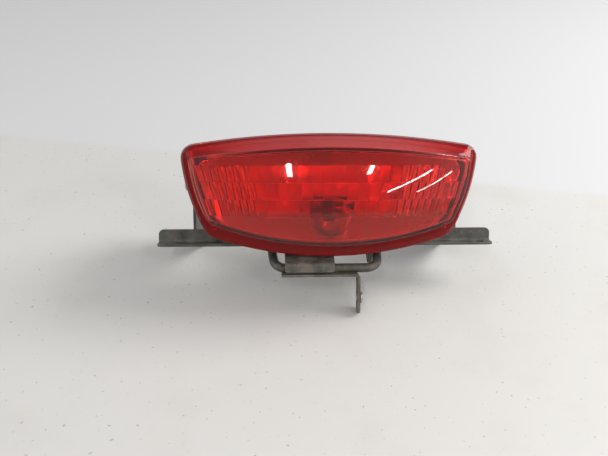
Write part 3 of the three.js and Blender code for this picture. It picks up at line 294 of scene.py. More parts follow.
def arc_at(before, corner, after, radius, steps):
    """The points of a true arc that rounds the corner between its two neighbours."""
    back = (before - corner).normalized()
    ahead = (after - corner).normalized()
    half = back.angle(ahead) / 2
    centre = corner + (back + ahead).normalized() * radius / math.sin(half)
    start = corner + back * radius / math.tan(half) - centre
    end = corner + ahead * radius / math.tan(half) - centre
    sweep = (math.pi - 2 * half) * (1 if start.cross(end) > 0 else -1)
    return [centre + Matrix.Rotation(sweep * k / steps, 2) @ start for k in range(steps + 1)]


def rounded_outline(corners, steps=8):
    """A flat outline with a true arc at each corner that has a radius."""
    points = []
    for i, (u, v, *radius) in enumerate(corners):
        if radius:
            before = Vector(corners[i - 1][:2])
            after = Vector(corners[(i + 1) % len(corners)][:2])
            points += arc_at(before, Vector((u, v)), after, radius[0], steps)
        else:
            points.append(Vector((u, v)))
    return points


def circle(u, v, radius, steps=40):
    turns = [2 * math.pi * k / steps for k in range(steps)]
    return [Vector((u + radius * math.cos(a), v + radius * math.sin(a))) for a in turns]


def blank(outlines, thickness):
    """A flat sheet in u and v with the first outline's shape and the others as holes."""
    shape = bmesh.new()
    for outline in outlines:
        verts = [shape.verts.new((u, v, -thickness / 2)) for u, v in outline]
        for i, vert in enumerate(verts):
            shape.edges.new((vert, verts[i - 1]))
    bmesh.ops.triangle_fill(shape, use_beauty=True, edges=shape.edges[:], normal=(0, 0, 1))
    under = shape.faces[:]
    lifted = bmesh.ops.extrude_face_region(shape, geom=under, use_keep_orig=True)["geom"]
    for item in lifted:
        if isinstance(item, bmesh.types.BMVert):
            item.co.z += thickness
    return shape


def fold_line(points, radius, steps=6):
    """A folded centre line: its length, where it bends, and a place and normal at any length."""
    stations = [Vector(points[0])]
    for before, corner, after in zip(points, points[1:], points[2:]):
        stations += arc_at(Vector(before), Vector(corner), Vector(after), radius, steps)
    stations.append(Vector(points[-1]))
    lengths = [0.0]
    for a, b in zip(stations, stations[1:]):
        lengths.append(lengths[-1] + (b - a).length)

    def at(length):
        i = max(k for k in range(len(lengths) - 1) if lengths[k] <= length + 1e-9 or k == 0)
        along = (stations[i + 1] - stations[i]).normalized()
        spot = stations[i] + along * (length - lengths[i])
        normals = []
        for k in (i - 1, i, i + 1):
            if 0 <= k < len(stations) - 1:
                way = (stations[k + 1] - stations[k]).normalized()
                normals.append(Vector((-way.y, way.x)))
            else:
                normals.append(Vector((-along.y, along.x)))
        share = (length - lengths[i]) / max(lengths[i + 1] - lengths[i], 1e-9)
        here = normals[1] * 0.5 + normals[0] * 0.5 * (1 - share) + normals[2] * 0.5 * share
        bent = (normals[0] - normals[1]).length + (normals[1] - normals[2]).length > 1e-6
        return spot, (here.normalized() if bent and lengths[i + 1] - lengths[i] < radius else normals[1])

    return lengths, at


def folded_sheet(name, outlines, thickness, line, radius, to_lamp, material, nodes):
    """Cuts a blank across its folds and wraps its v direction along the folded line."""
    lengths, at = fold_line(line, radius)
    shape = blank(outlines, thickness)
    for length in lengths[1:-1]:
        bmesh.ops.bisect_plane(shape, geom=shape.verts[:] + shape.edges[:] + shape.faces[:],
                               plane_co=(0, length, 0), plane_no=(0, 1, 0), dist=1e-4)
    for vert in shape.verts:
        spot, normal = at(vert.co.y)
        across = spot + normal * vert.co.z
        vert.co = LAMP_MM @ Vector(to_lamp(vert.co.x, across.x, across.y))
    mesh = bpy.data.meshes.new(name)
    shape.to_mesh(mesh)
    shape.free()
    finished(name, mesh, material, edge=0.3, nodes=nodes)


SHEET = 1.5
FLANGE_DEPTH = 11.0
WALL_HEIGHT = 8.7
HALF_LENGTH = 114.0
EAR_HOLES = 105.0
EAR_HOLE_RADIUS = 3.5
NOTCH_HALF = 19.6
NOTCH_FLOOR = 1.8
BEND_RADIUS = 2.2
bar_line = [(SHEET / 2, WALL_HEIGHT), (SHEET / 2, -SHEET / 2), (-FLANGE_DEPTH, -SHEET / 2)]
blank_width = fold_line(bar_line, BEND_RADIUS)[0][-1]
wall_depth = WALL_HEIGHT - NOTCH_FLOOR
bar_outline = rounded_outline([
    (-HALF_LENGTH, 0, 3.5), (-NOTCH_HALF, 0, 2), (-NOTCH_HALF, wall_depth, 2),
    (NOTCH_HALF, wall_depth, 2), (NOTCH_HALF, 0, 2), (HALF_LENGTH, 0, 3.5),
    (HALF_LENGTH, blank_width, 5), (-HALF_LENGTH, blank_width, 5)])
bar_holes = [circle(side * EAR_HOLES, blank_width - FLANGE_DEPTH / 2, EAR_HOLE_RADIUS) for side in (-1, 1)]
folded_sheet("crossbar", [bar_outline, *bar_holes], SHEET, bar_line, BEND_RADIUS,
             lambda u, y, z: (u, y, z), black_paint, ["bracket_crossbar"])


# ---------------------------------------------------------------- cheeks
# Two plates cut from 2 mm steel stand behind the crossbar, one at each end of the lamp. Each
# has a large hole for its rubber bush and a rounded foot that the lamp leans on.
CHEEK_INNER = 88.6
CHEEK_SHEET = 2.0
CHEEK_DEPTH = 46.0
FOOT_RADIUS = 4.0
FOOT_DROP = 10.0
BOLT_BACK = 15.0
BOLT_HEIGHT = 40.0
BUSH_HOLE = 7.0
cheek_outline = rounded_outline([
    (1.8, -SHEET), (30, -6, 8), (CHEEK_DEPTH - FOOT_RADIUS, -FOOT_DROP),
    (CHEEK_DEPTH, -FOOT_DROP, FOOT_RADIUS),
    (CHEEK_DEPTH, 6, 6), (30, BOLT_HEIGHT, 6), (BOLT_BACK + 8, 56, 6), (1.8, 52, 8)])
cheek_hole = circle(BOLT_BACK, BOLT_HEIGHT, BUSH_HOLE, 64)
for word, side in (("left", -1), ("right", 1)):
    shape = blank([cheek_outline, cheek_hole], CHEEK_SHEET)
    middle = side * (CHEEK_INNER + CHEEK_SHEET / 2)
    for vert in shape.verts:
        vert.co = LAMP_MM @ Vector((middle + vert.co.z, vert.co.x, vert.co.y))
    mesh = bpy.data.meshes.new("cheek")
    shape.to_mesh(mesh)
    shape.free()
    finished(f"cheek_{word}", mesh, black_paint, edge=0.35, nodes=[f"side_cheek_{word}"])


# ---------------------------------------------------------------- loop bar
# A 6 mm round bar bent into a loop under the flange: a straight run in front and a leg at each
# end that leans back up to the flange, where it is cut flat and welded.
def geometry_group(name, inputs):
    group = bpy.data.node_groups.new(name, "GeometryNodeTree")
    for label, kind, value in inputs:
        socket = group.interface.new_socket(label, in_out="INPUT", socket_type=kind)
        if value is not None:
            socket.default_value = value
    group.interface.new_socket("Geometry", in_out="OUTPUT", socket_type="NodeSocketGeometry")
    return group, group.nodes.new("NodeGroupInput"), group.nodes.new("NodeGroupOutput")


def grown(holder, group, values):
    """Runs a Geometry Nodes group on an object and keeps the mesh that it makes."""
    growth = holder.modifiers.new("growth", "NODES")
    growth.node_group = group
    for socket in group.interface.items_tree:
        if socket.in_out == "INPUT" and socket.name in values:
            growth[socket.identifier] = values[socket.name]
    bpy.context.collection.objects.link(holder)
    evaluated = holder.evaluated_get(bpy.context.evaluated_depsgraph_get())
    mesh = bpy.data.meshes.new_from_object(evaluated)
    bpy.data.objects.remove(holder)
    mesh.transform(LAMP_MM)
    return mesh


def hand_out(group, geometry, given, made):
    """Makes instances real, gives them the material and ends the group."""
    alone = add_node(group, "GeometryNodeRealizeInstances", {"Geometry": geometry})
    coated = add_node(group, "GeometryNodeSetMaterial", {
        "Geometry": alone.outputs["Geometry"], "Material": given.outputs["Material"]})
    group.links.new(coated.outputs["Geometry"], made.inputs["Geometry"])


rod_along, given, made = geometry_group("rod_along_path", [
    ("Geometry", "NodeSocketGeometry", None), ("Bend Radius", FLOAT, 9.0), ("Rod Radius", FLOAT, 3.0),
    ("Material", "NodeSocketMaterial", None)])
bent = add_node(rod_along, "GeometryNodeFilletCurve", {
    "Curve": given.outputs["Geometry"], "Count": 14, "Radius": given.outputs["Bend Radius"]}, mode="POLY")
round_section = add_node(rod_along, "GeometryNodeCurvePrimitiveCircle", {
    "Resolution": 40, "Radius": given.outputs["Rod Radius"]})
rod = add_node(rod_along, "GeometryNodeCurveToMesh", {
    "Curve": bent.outputs["Curve"], "Profile Curve": round_section.outputs["Curve"], "Fill Caps": True})
hand_out(rod_along, rod.outputs["Mesh"], given, made)


def path_object(name, points):
    curve = bpy.data.curves.new(name, "CURVE")
    curve.dimensions = "3D"
    spline = curve.splines.new("POLY")
    spline.points.add(len(points) - 1)
    for point, place in zip(spline.points, points):
        point.co = (*place, 1)
    return bpy.data.objects.new(name, curve)


BAR_RADIUS = 3.0
LOOP_CENTRE = -1.6
LOOP_HALF_RUN = 33.4
LOOP_SPREAD = 2.8
LOOP_FRONT = -25.0
LOOP_DROP = 13.9
LOOP_BEND = 9.0
LEG_REACH = 0.93
FLANGE_UNDER = -SHEET - 0.3
LEG_TOP = -FLANGE_DEPTH / 3
loop_path = []
for side in (-1, 1):
    low = (LOOP_CENTRE + side * LOOP_HALF_RUN, LOOP_FRONT, -LOOP_DROP)
    high = (low[0] + side * LOOP_SPREAD, LEG_TOP, -LOOP_DROP + (LOOP_DROP + FLANGE_UNDER) * LEG_REACH)
    loop_path += [high, low] if side < 0 else [low, high]
bar_mesh = grown(path_object("bar_path", loop_path), rod_along,
                 {"Bend Radius": LOOP_BEND, "Rod Radius": BAR_RADIUS, "Material": black_paint})
shape = bmesh.new()
shape.from_mesh(bar_mesh)
bmesh.ops.bisect_plane(shape, geom=shape.verts[:] + shape.edges[:] + shape.faces[:],
                       plane_co=LAMP_MM @ Vector((0, 0, FLANGE_UNDER)), plane_no=lamp_up, clear_outer=True)
bmesh.ops.holes_fill(shape, edges=shape.edges[:])
shape.to_mesh(bar_mesh)
shape.free()
finished("round_bar_loop", bar_mesh, black_paint, edge=0.2, nodes=["loop_bar"])

# ---------------------------------------------------------------- strap and gusset
# A bent strap of bare sheet reaches from under the flange over the front of the loop and hooks
# down before it; a thick plate braces the right leg. Both are welded on and only lightly painted.
bare_steel = worn_material("bare_steel", (0.055, 0.05, 0.04), (0.2, 0.18, 0.15), (0.13, 0.085, 0.05),
                           0.5, 0.5, 0.5, 0.75, bump=0.0002)


def refined(name, node, material, body, edge=0.25, sharp=30.0):
    """The drawn solid with its flat facets joined again and its corners rounded."""
    shape = bmesh.new()
    shape.from_mesh(frame["nodes"][node].data)
    bmesh.ops.remove_doubles(shape, verts=shape.verts, dist=1e-6)
    bmesh.ops.dissolve_limit(shape, angle_limit=math.radians(1.0), verts=shape.verts, edges=shape.edges)
    mesh = bpy.data.meshes.new(name)
    shape.to_mesh(mesh)
    shape.free()
    finished(name, mesh, material, body, sharp=sharp, edge=edge, nodes=[node])


STRAP_LEFT, STRAP_RIGHT = -28.7, 3.5
STRAP_BEND = 2.0
STRAP_CORNER = 1.5
STRAP_LIP = 5.4
strap_front = LOOP_FRONT - BAR_RADIUS - 1.25
strap_top = -LOOP_DROP + BAR_RADIUS + 0.55
strap_line = [(-FLANGE_DEPTH / 4, FLANGE_UNDER - SHEET / 2), (-FLANGE_DEPTH - 0.5, FLANGE_UNDER - SHEET / 2),
              (strap_front, strap_top), (strap_front, strap_top - STRAP_LIP)]
strap_length = fold_line(strap_line, STRAP_BEND)[0][-1]
strap_outline = rounded_outline([
    (STRAP_LEFT, 0), (STRAP_RIGHT, 0), (STRAP_RIGHT, strap_length, STRAP_CORNER),
    (STRAP_LEFT, strap_length, STRAP_CORNER)])
folded_sheet("hooked_strap", [strap_outline], SHEET, strap_line, STRAP_BEND, lambda u, y, z: (u, y, z),
             bare_steel, ["loop_strap"])
refined("brace_plate", "loop_gusset", bare_steel, "lamp", 0.4)

# ---------------------------------------------------------------- tab and clinch nut
# A strip under the loop is folded down at its right end into a hanging tab with a round end
# and a clinch nut whose collar stands on its outer face.
TAB_SHEET = 1.6
TAB_LEFT, TAB_RIGHT = -31.0, 20.3
TAB_HALF = 5.5
TAB_TOP = -LOOP_DROP - BAR_RADIUS - 0.3
TAB_END = -44.3
TAB_BEND = 2.0
TAB_CORNER = 1.0
END_RADIUS = TAB_HALF - 0.01
NUT_HEIGHT = 10.7
NUT_HOLE = 2.9
tab_line = [(TAB_LEFT, TAB_TOP - TAB_SHEET / 2), (TAB_RIGHT - TAB_SHEET / 2, TAB_TOP - TAB_SHEET / 2),
            (TAB_RIGHT - TAB_SHEET / 2, TAB_END)]
tab_length = fold_line(tab_line, TAB_BEND)[0][-1]
tab_outline = rounded_outline([(-TAB_HALF, 0, TAB_CORNER), (TAB_HALF, 0, TAB_CORNER),
                               (TAB_HALF, tab_length, END_RADIUS), (-TAB_HALF, tab_length, END_RADIUS)], 16)
folded_sheet("hanging_tab", [tab_outline, circle(0, tab_length - NUT_HEIGHT, NUT_HOLE)], TAB_SHEET, tab_line,
             TAB_BEND, lambda u, x, z: (x, LOOP_FRONT + u, z), bare_steel, ["tab_strip"])


def mesh_from(name, points, faces):
    mesh = bpy.data.meshes.new(name)
    mesh.from_pydata([LAMP_MM @ Vector(point) for point in points], [], faces)
    return mesh


def turned(name, profile, place, axis, material, body, nodes, steps=56, edge=0.0):
    """A body turned about an axis through a place; the profile is (radius, along) pairs."""
    axis = Vector(axis)
    across = axis.orthogonal().normalized()
    other = axis.cross(across)
    points, faces = [], []
    for k in range(steps):
        turn = 2 * math.pi * k / steps
        outwards = across * math.cos(turn) + other * math.sin(turn)
        points += [Vector(place) + outwards * radius + axis * along for radius, along in profile]
    count = len(profile)
    for k in range(steps):
        for i in range(count):
            a, b = k * count + i, k * count + (i + 1) % count
            c, d = (b + count) % (steps * count), (a + count) % (steps * count)
            faces.append((a, b, c, d))
    mesh = mesh_from(name, points, faces)
    shape = bmesh.new()
    shape.from_mesh(mesh)
    bmesh.ops.remove_doubles(shape, verts=shape.verts, dist=1e-7)
    bmesh.ops.dissolve_degenerate(shape, edges=shape.edges, dist=1e-7)
    shape.to_mesh(mesh)
    shape.free()
    finished(name, mesh, material, body, edge=edge, nodes=nodes)


zinc = worn_material("zinc_plate", (0.45, 0.44, 0.41), (0.6, 0.6, 0.58), (0.2, 0.13, 0.07),
                     0.5, 0.35, 0.34, 0.35, metallic=0.9, bump=0.00006)
nut_profile = [(2, -2.1), (2.6, -2.1), (2.6, 0.3), (3.7, 0.3), (4, 0.6), (4, 1.6), (3.7, 1.9), (2.3, 1.9),
               (2, 1.6)]
turned("clinch_nut", nut_profile, (TAB_RIGHT, LOOP_FRONT, TAB_END + NUT_HEIGHT), (1, 0, 0), zinc, "lamp",
       ["tab_clinch_nut"])


# ---------------------------------------------------------------- rear housing
# A black moulded shell with a flange that the lens sits on, a tapered body, a neck for the
# bulb holder and a boss at each side for the side bolt.
def moulded(name, colour, roughness, dust, grain=420.0, bump=0.00005):
    """A moulded material, clouded with a paler tone of its colour, grained and dusty."""
    material, tree, shader = new_material(name)
    place = add_node(tree, "ShaderNodeTexCoord").outputs["Object"]
    pale = tuple(part * 1.9 for part in colour)
    tone = mixed(tree, noise(tree, place, 35.0, 5.0), (*colour, 1), (*pale, 1))
    surfaced(tree, shader, tone, roughness, dust, noise(tree, place, grain, 4.0), bump)
    return material


black_plastic = moulded("black_plastic", (0.014, 0.014, 0.015), 0.42, 0.4)
black_rubber = moulded("black_rubber", (0.012, 0.012, 0.012), 0.75, 0.5, grain=700.0)
refined("shell_moulding", "rear_housing", black_plastic, "lamp", 0.5, 35.0)


# ---------------------------------------------------------------- reflector
# A thin moulded dish, bright metal on its front. Its floor has three rows of upright flutes at
# each side, flat facets between them and a rim round the hole that the bulb comes through.
RIM_TOP, RIM_BOTTOM, RIM_HALF = 73.6, -5.2, 94.4
TOP_ARC = Vector((0, RIM_TOP - 560.0)), 560.0
SIDE_ARC = Vector((RIM_HALF - 120.0, 69.6)), 120.0
BOTTOM_ARC = Vector((0, RIM_BOTTOM + 225.0)), 225.0


def meeting(a, radius_a, b, radius_b):
    apart = b - a
    along = (radius_a ** 2 - radius_b ** 2 + apart.length_squared) / (2 * apart.length)
    off = math.sqrt(radius_a ** 2 - along ** 2)
    middle = a + apart.normalized() * along
    side = 1 if apart.y > 0 else -1
    return middle + Vector((apart.y, -apart.x)) * side * off / apart.length


def rim_outline(top, side, bottom, upper=None, lower=None):
    """The lamp's outline set in from the rim: four arcs joined by rounded corners."""
    upper = max(9.0 - side, 3.0) if upper is None else upper
    lower = max(14.0 - bottom, 3.0) if lower is None else lower
    high = meeting(TOP_ARC[0], TOP_ARC[1] - top - upper, SIDE_ARC[0], SIDE_ARC[1] - side - upper)
    low = meeting(BOTTOM_ARC[0], BOTTOM_ARC[1] - bottom - lower, SIDE_ARC[0], SIDE_ARC[1] - side - lower)
    turns = [math.atan2(*(corner - arc).yx) for corner, arc in
             ((high, TOP_ARC[0]), (high, SIDE_ARC[0]), (low, SIDE_ARC[0]), (low, BOTTOM_ARC[0]))]
    runs = [(TOP_ARC[0], TOP_ARC[1] - top, math.pi / 2, turns[0], 22), (high, upper, turns[0], turns[1], 10),
            (SIDE_ARC[0], SIDE_ARC[1] - side, turns[1], turns[2], 14), (low, lower, turns[2], turns[3], 12),
            (BOTTOM_ARC[0], BOTTOM_ARC[1] - bottom, turns[3], -math.pi / 2, 22)]
    half = []
    for centre, radius, start, stop, steps in runs:
        for k in range(steps):
            turn = start + (stop - start) * k / steps
            half.append(centre + Vector((math.cos(turn), math.sin(turn))) * radius)
    half[0].x = 0
    foot = Vector((0, RIM_BOTTOM + bottom))
    return half + [foot] + [Vector((-point.x, point.y)) for point in reversed(half[1:])]


def softened_profile(points, radii, steps=4):
    """A profile whose corners are rounded, each by its own distance along both sides."""
    line = []
    for i, (corner, radius) in enumerate(zip(points, radii)):
        if radius == 0:
            line.append(corner)
            continue
        start = corner + (points[i - 1] - corner).normalized() * radius
        end = corner + (points[i + 1] - corner).normalized() * radius
        for k in range(steps + 1):
            t = k / steps
            line.append(start * (1 - t) ** 2 + corner * 2 * t * (1 - t) + end * t ** 2)
    return line


def lofted(profiles):
    """Faces between the profiles round a closed outline; equal ends close on one point."""
    points = [point for profile in profiles for point in profile]
    count, length = len(profiles), len(profiles[0])
    faces = []
    for k in range(count):
        for i in range(length - 1):
            a, b = k * length + i, k * length + i + 1
            c, d = ((k + 1) % count) * length + i + 1, ((k + 1) % count) * length + i
            faces.append((a, b, c, d))
    return points, faces


def bright_metal(name, scale, haze, tints):
    """Metallised plastic with a cloudy bloom that dulls and tints it."""
    material, tree, shader = new_material(name, metallic=1.0)
    bloom = noise(tree, add_node(tree, "ShaderNodeTexCoord").outputs["Object"], scale, 5.0)
    tree.links.new(ramp(tree, bloom, start=haze[0], end=haze[1]), shader.inputs["Roughness"])
    tree.links.new(mixed(tree, bloom, *tints), shader.inputs["Base Color"])
    return material


mirror = bright_metal("mirror_metal", 45.0, (0.2, 0.4), ((0.92, 0.91, 0.9, 1), (0.78, 0.77, 0.75, 1)))
REFLECTOR_MOUTH = -27.4
REFLECTOR_FLOOR = -17.0
HOLE_RADIUS = 13.6
LIP_WIDTH = 1.4
LIP_RISE = 1.4
DISH_WALL = 1.5
BACK_WIDER, BACK_TALLER = 1.012, 1.03
mouth = rim_outline(9.1, 9.1, 9.1, 9.9, 19.9)
deep = rim_outline(21.1, 11.9, 24.0, 8.4, 18.4)
inner_mouth = rim_outline(10.6, 10.6, 10.6, 8.4, 18.4)
hole_centre = Vector((0, BULB_HEIGHT))
profiles = []
for rim, front, floor in zip(mouth, inner_mouth, deep):
    ray = (floor - hole_centre).normalized()
    lip = hole_centre + ray * HOLE_RADIUS
    crest = hole_centre + ray * (HOLE_RADIUS + LIP_WIDTH / 2)
    foot = hole_centre + ray * (HOLE_RADIUS + LIP_WIDTH)
    back_height = BULB_HEIGHT + (floor.y - BULB_HEIGHT) * BACK_TALLER
    points = [Vector((rim.x, REFLECTOR_MOUTH, rim.y)), Vector((front.x, REFLECTOR_MOUTH, front.y)),
              Vector((floor.x, REFLECTOR_FLOOR, floor.y)),
              Vector((foot.x, REFLECTOR_FLOOR, foot.y)), Vector((crest.x, REFLECTOR_FLOOR - LIP_RISE, crest.y)),
              Vector((lip.x, REFLECTOR_FLOOR, lip.y)), Vector((lip.x, REFLECTOR_FLOOR + DISH_WALL, lip.y)),
              Vector((floor.x * BACK_WIDER, REFLECTOR_FLOOR + DISH_WALL, back_height)),
              Vector((rim.x, REFLECTOR_MOUTH + 0.4, rim.y))]
    profile = softened_profile(points, [0, 0.3, 2.5, 0.3, 0.5, 0, 0, 0, 0])
    profiles.append(profile + [profile[0]])
dish = mesh_from("dish", *lofted(profiles))
finished("mirror_dish", dish, mirror, nodes=["reflector"])

bright_flutes = bright_metal("fluted_metal", 60.0, (0.25, 0.5), ((0.98, 0.97, 0.95, 1), (0.9, 0.88, 0.85, 1)))
cell_bank, given, made = geometry_group("bank_of_cells", [
    ("Geometry", "NodeSocketGeometry", None), ("Columns", "NodeSocketInt", 7), ("Rows", "NodeSocketInt", 3),
    ("Column Pitch", FLOAT, 4.7), ("Row Pitch", FLOAT, 11.0), ("Lean", FLOAT, 0.0),
    ("Material", "NodeSocketMaterial", None)])
spans = []
for count, pitch in (("Columns", "Column Pitch"), ("Rows", "Row Pitch")):
    gaps = figure(cell_bank, "SUBTRACT", given.outputs[count], 1.0)
    spans.append(figure(cell_bank, "MULTIPLY", gaps, given.outputs[pitch]))
grid = add_node(cell_bank, "GeometryNodeMeshGrid", {
    "Vertices X": given.outputs["Columns"], "Vertices Y": given.outputs["Rows"],
    "Size X": spans[0], "Size Y": spans[1]})
raised = add_node(cell_bank, "GeometryNodeTransform", {
    "Geometry": grid.outputs["Mesh"], "Rotation": (math.pi / 2, 0, 0)})
leftward = figure(cell_bank, "MULTIPLY", given.outputs["Lean"], -1.0)
leaning = add_node(cell_bank, "FunctionNodeRandomValue", {0: leftward, 1: given.outputs["Lean"]},
                   data_type="FLOAT_VECTOR")
copies = add_node(cell_bank, "GeometryNodeInstanceOnPoints", {
    "Points": raised.outputs["Geometry"], "Instance": given.outputs["Geometry"],
    "Rotation": leaning.outputs[0]})
hand_out(cell_bank, copies.outputs["Instances"], given, made)


def cell_mesh(name, width, height, bulge, wedge, steps):
    """One cell: flat on one side, fluted or roof-shaped and leaning on the other."""
    points, faces = [], []
    for k in range(steps + 1):
        t = -1 + 2 * k / steps
        bow = bulge * (math.sqrt(max(1 - t * t, 0)) if steps > 2 else 1 - abs(t))
        x = t * width / 2
        points += [(x, 0, height / 2), (x, 0, -height / 2), (x, 0.5 + wedge + bow, -height / 2),
                   (x, 0.5 + bow, height / 2)]
    for k in range(steps):
        for i in range(4):
            a, b = 4 * k + i, 4 * k + (i + 1) % 4
            faces.append((a, b, b + 4, a + 4))
    faces += [(0, 1, 2, 3), tuple(4 * steps + i for i in (3, 2, 1, 0))]
    mesh = bpy.data.meshes.new(name)
    mesh.from_pydata(points, [], faces)
    return mesh


MIRROR_ROW = 11.0
MIRROR_LEAN = 0.05
for name, columns, rows, pitch, bulge, wedge, steps, middle_x, middle_z in (
        ("mirror_flutes_left", 7, 3, 4.7, 1.5, 1.6, 10, -66.0, 35.5),
        ("mirror_flutes_right", 9, 3, 4.7, 1.5, 1.6, 10, 61.0, 35.5),
        ("mirror_facets_upper", 12, 2, 7.4, 0.9, 1.2, 2, -4.5, 41.0),
        ("mirror_facets_left", 4, 1, 7.4, 0.9, 1.2, 2, -34.1, 24.5),
        ("mirror_facets_right", 3, 1, 7.4, 0.9, 1.2, 2, 28.8, 24.5)):
    cell = bpy.data.objects.new(name, cell_mesh(name, pitch, MIRROR_ROW, bulge, wedge, steps))
    mesh = grown(cell, cell_bank, {"Columns": columns, "Rows": rows, "Column Pitch": pitch,
                                   "Row Pitch": MIRROR_ROW, "Lean": MIRROR_LEAN, "Material": bright_flutes})
    turned_over = Matrix.Translation((middle_x, REFLECTOR_FLOOR, middle_z)) @ Matrix.Scale(-1, 4, (0, 1, 0))
    mesh.transform(LAMP_MM @ turned_over @ LAMP_MM.inverted())
    finished(name, mesh, bright_flutes)

# ---------------------------------------------------------------- gasket
# A square rubber cord lies in the groove of the housing's flange, pressed by the lens rim.
refined("rubber_gasket", "lens_gasket", black_rubber, "lamp", 0.0, 60.0)

# ---------------------------------------------------------------- lens
# One clear red moulding: a flat rim, a short skirt, a narrow ledge and a bowed window that
# turns over at the top into a brow. It is scuffed, its edges have gone dull, and its inner face
# is satin in the middle. The dulled rim, skirt, ledge and brow are also a darker, part-opaque red:
# painted shade for the dark that lies behind them.
LENS_WALL = 2.4
LENS_BACK = -28.0
RIM_DEPTH = 2.0
SKIRT_DEPTH = 5.4
LEDGE_DEPTH = 6.0
BROW_DROP = 1.2


def face_depth(x, z):
    return x * x / 488.0 + (z - 40.0) ** 2 / 125.0 - 57.0


def red_plastic(name, colour, clear, roughness, scuffs, bending=1.49, shine=0.5):
    """Clear or cloudy coloured plastic with rubbed patches, hairline scratches and a little dust."""
    material, tree, shader = new_material(name, transmission_weight=clear)
    shader.inputs["Specular IOR Level"].default_value = shine
    shader.inputs["IOR"].default_value = bending
    place = add_node(tree, "ShaderNodeTexCoord").outputs["Object"]
    rubbed = ramp(tree, noise(tree, place, 70.0, 9.0, 0.7), 0.6, 0.75, end=scuffs)
    stretched = add_node(tree, "ShaderNodeMapping", {
        "Vector": place, "Scale": (60.0, 900.0, 900.0), "Rotation": (0.0, 0.5, 0.9)})
    scratch = ramp(tree, noise(tree, stretched.outputs[0], 1.0, 3.0), 0.7, 0.74, end=scuffs)
    marks = figure(tree, "MAXIMUM", rubbed, scratch)
    tree.links.new(figure(tree, "ADD", marks, roughness), shader.inputs["Roughness"])
    dusted = add_node(tree, "ShaderNodeGroup", {
        "Amount": scuffs * 0.9, "Scale": 160.0, "Dust Colour": (0.85, 0.4, 0.35, 1),
        "Surface Colour": (*colour, 1)}, node_tree=settled_dust)
    tree.links.new(dusted.outputs["Colour"], shader.inputs["Base Color"])
    return material


clear_red = red_plastic("clear_red", (1.0, 0.12, 0.08), 1.0, 0.015, 0.18, shine=0.28)
# Darker, part-opaque red: painted shade for the dark behind the rim, skirt, ledge and brow.
frosted_red_painted_shade = red_plastic("frosted_red_painted_shade", (0.5, 0.008, 0.008), 0.72, 0.06, 0.06, 1.3, 0.05)
satin_red = red_plastic("satin_red", (1.0, 0.11, 0.07), 1.0, 0.12, 0.1)

skirt = (1.0, 2.0, 4.4)
ledge = (1.6, 4.0, 7.6)
brow = (8.2, 5.8, 9.0)
window = [inset + 0.6 for inset in brow]
outer_rings = [rim_outline(*insets) for insets in ((0, 0, 0), skirt, ledge, brow, window)]
inner_rings = [rim_outline(*[inset + LENS_WALL for inset in insets]) for insets in (ledge, window)]
middle = (RIM_TOP + RIM_BOTTOM) / 2
shares = (0.96, 0.9, 0.82, 0.72, 0.6, 0.48, 0.36, 0.24, 0.12, 0.0)


def across_window(edge, back):
    line = []
    for share in shares:
        x, z = edge.x * share, middle + (edge.y - middle) * share
        line.append(Vector((x, face_depth(x, z) + back, z)))
    return line


profiles = []
for k in range(len(outer_rings[0])):
    rim, skirt_edge, ledge_edge, shoulder, edge = (ring[k] for ring in outer_rings)
    inner_ledge, inner_edge = (ring[k] for ring in inner_rings)
    outside = [Vector((rim.x, LENS_BACK, rim.y)), Vector((rim.x, LENS_BACK - RIM_DEPTH, rim.y)),
               Vector((skirt_edge.x, LENS_BACK - SKIRT_DEPTH, skirt_edge.y)),
               Vector((ledge_edge.x, LENS_BACK - LEDGE_DEPTH, ledge_edge.y)),
               Vector((shoulder.x, face_depth(*shoulder) + BROW_DROP, shoulder.y)),
               Vector((edge.x, face_depth(*edge), edge.y))] + across_window(edge, 0.0)
    inside = [Vector((inner_ledge.x, LENS_BACK, inner_ledge.y)),
              Vector((inner_ledge.x, LENS_BACK - LEDGE_DEPTH + LENS_WALL, inner_ledge.y)),
              Vector((inner_edge.x, face_depth(*inner_edge) + LENS_WALL, inner_edge.y))]
    inside += across_window(inner_edge, LENS_WALL)
    unrounded = [0] * len(shares)
    front = softened_profile(outside, [0, 0.5, 0.3, 0.5, 0.8, 0.7] + unrounded)
    rear = softened_profile(inside, [0, 0.5, 1.2] + unrounded)
    profiles.append(rear[::-1] + front)
rear_count = len(rear)
points, faces = lofted(profiles)
lens_mesh = mesh_from("lens", points, faces)
length = len(profiles[0])
window_start = length - len(shares) - 3
frosted_painted_shade_rows = range(rear_count, window_start)
SATIN_REACH = 46.0
row_of = [min(i % length for i in face) for face in faces]
shape = bmesh.new()
shape.from_mesh(lens_mesh)
shape.faces.ensure_lookup_table()
for face, row in zip(shape.faces, row_of):
    near_middle = abs((LAMP_MM.inverted() @ face.calc_center_median()).x) < SATIN_REACH
    face.material_index = 1 if row in frosted_painted_shade_rows else 2 if row < rear_count and near_middle else 0
bmesh.ops.remove_doubles(shape, verts=shape.verts, dist=1e-6)
bmesh.ops.recalc_face_normals(shape, faces=shape.faces)
for face in shape.faces:
    face.smooth = True
for side in shape.edges:
    side.smooth = side.calc_face_angle(0.0) < math.radians(50)
shape.to_mesh(lens_mesh)
shape.free()
for plastic in (clear_red, frosted_red_painted_shade, satin_red):
    lens_mesh.materials.append(plastic)
lens = bpy.data.objects.new("red_lens", lens_mesh)
bpy.context.collection.objects.link(lens)
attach(lens, "lamp")
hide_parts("lens")
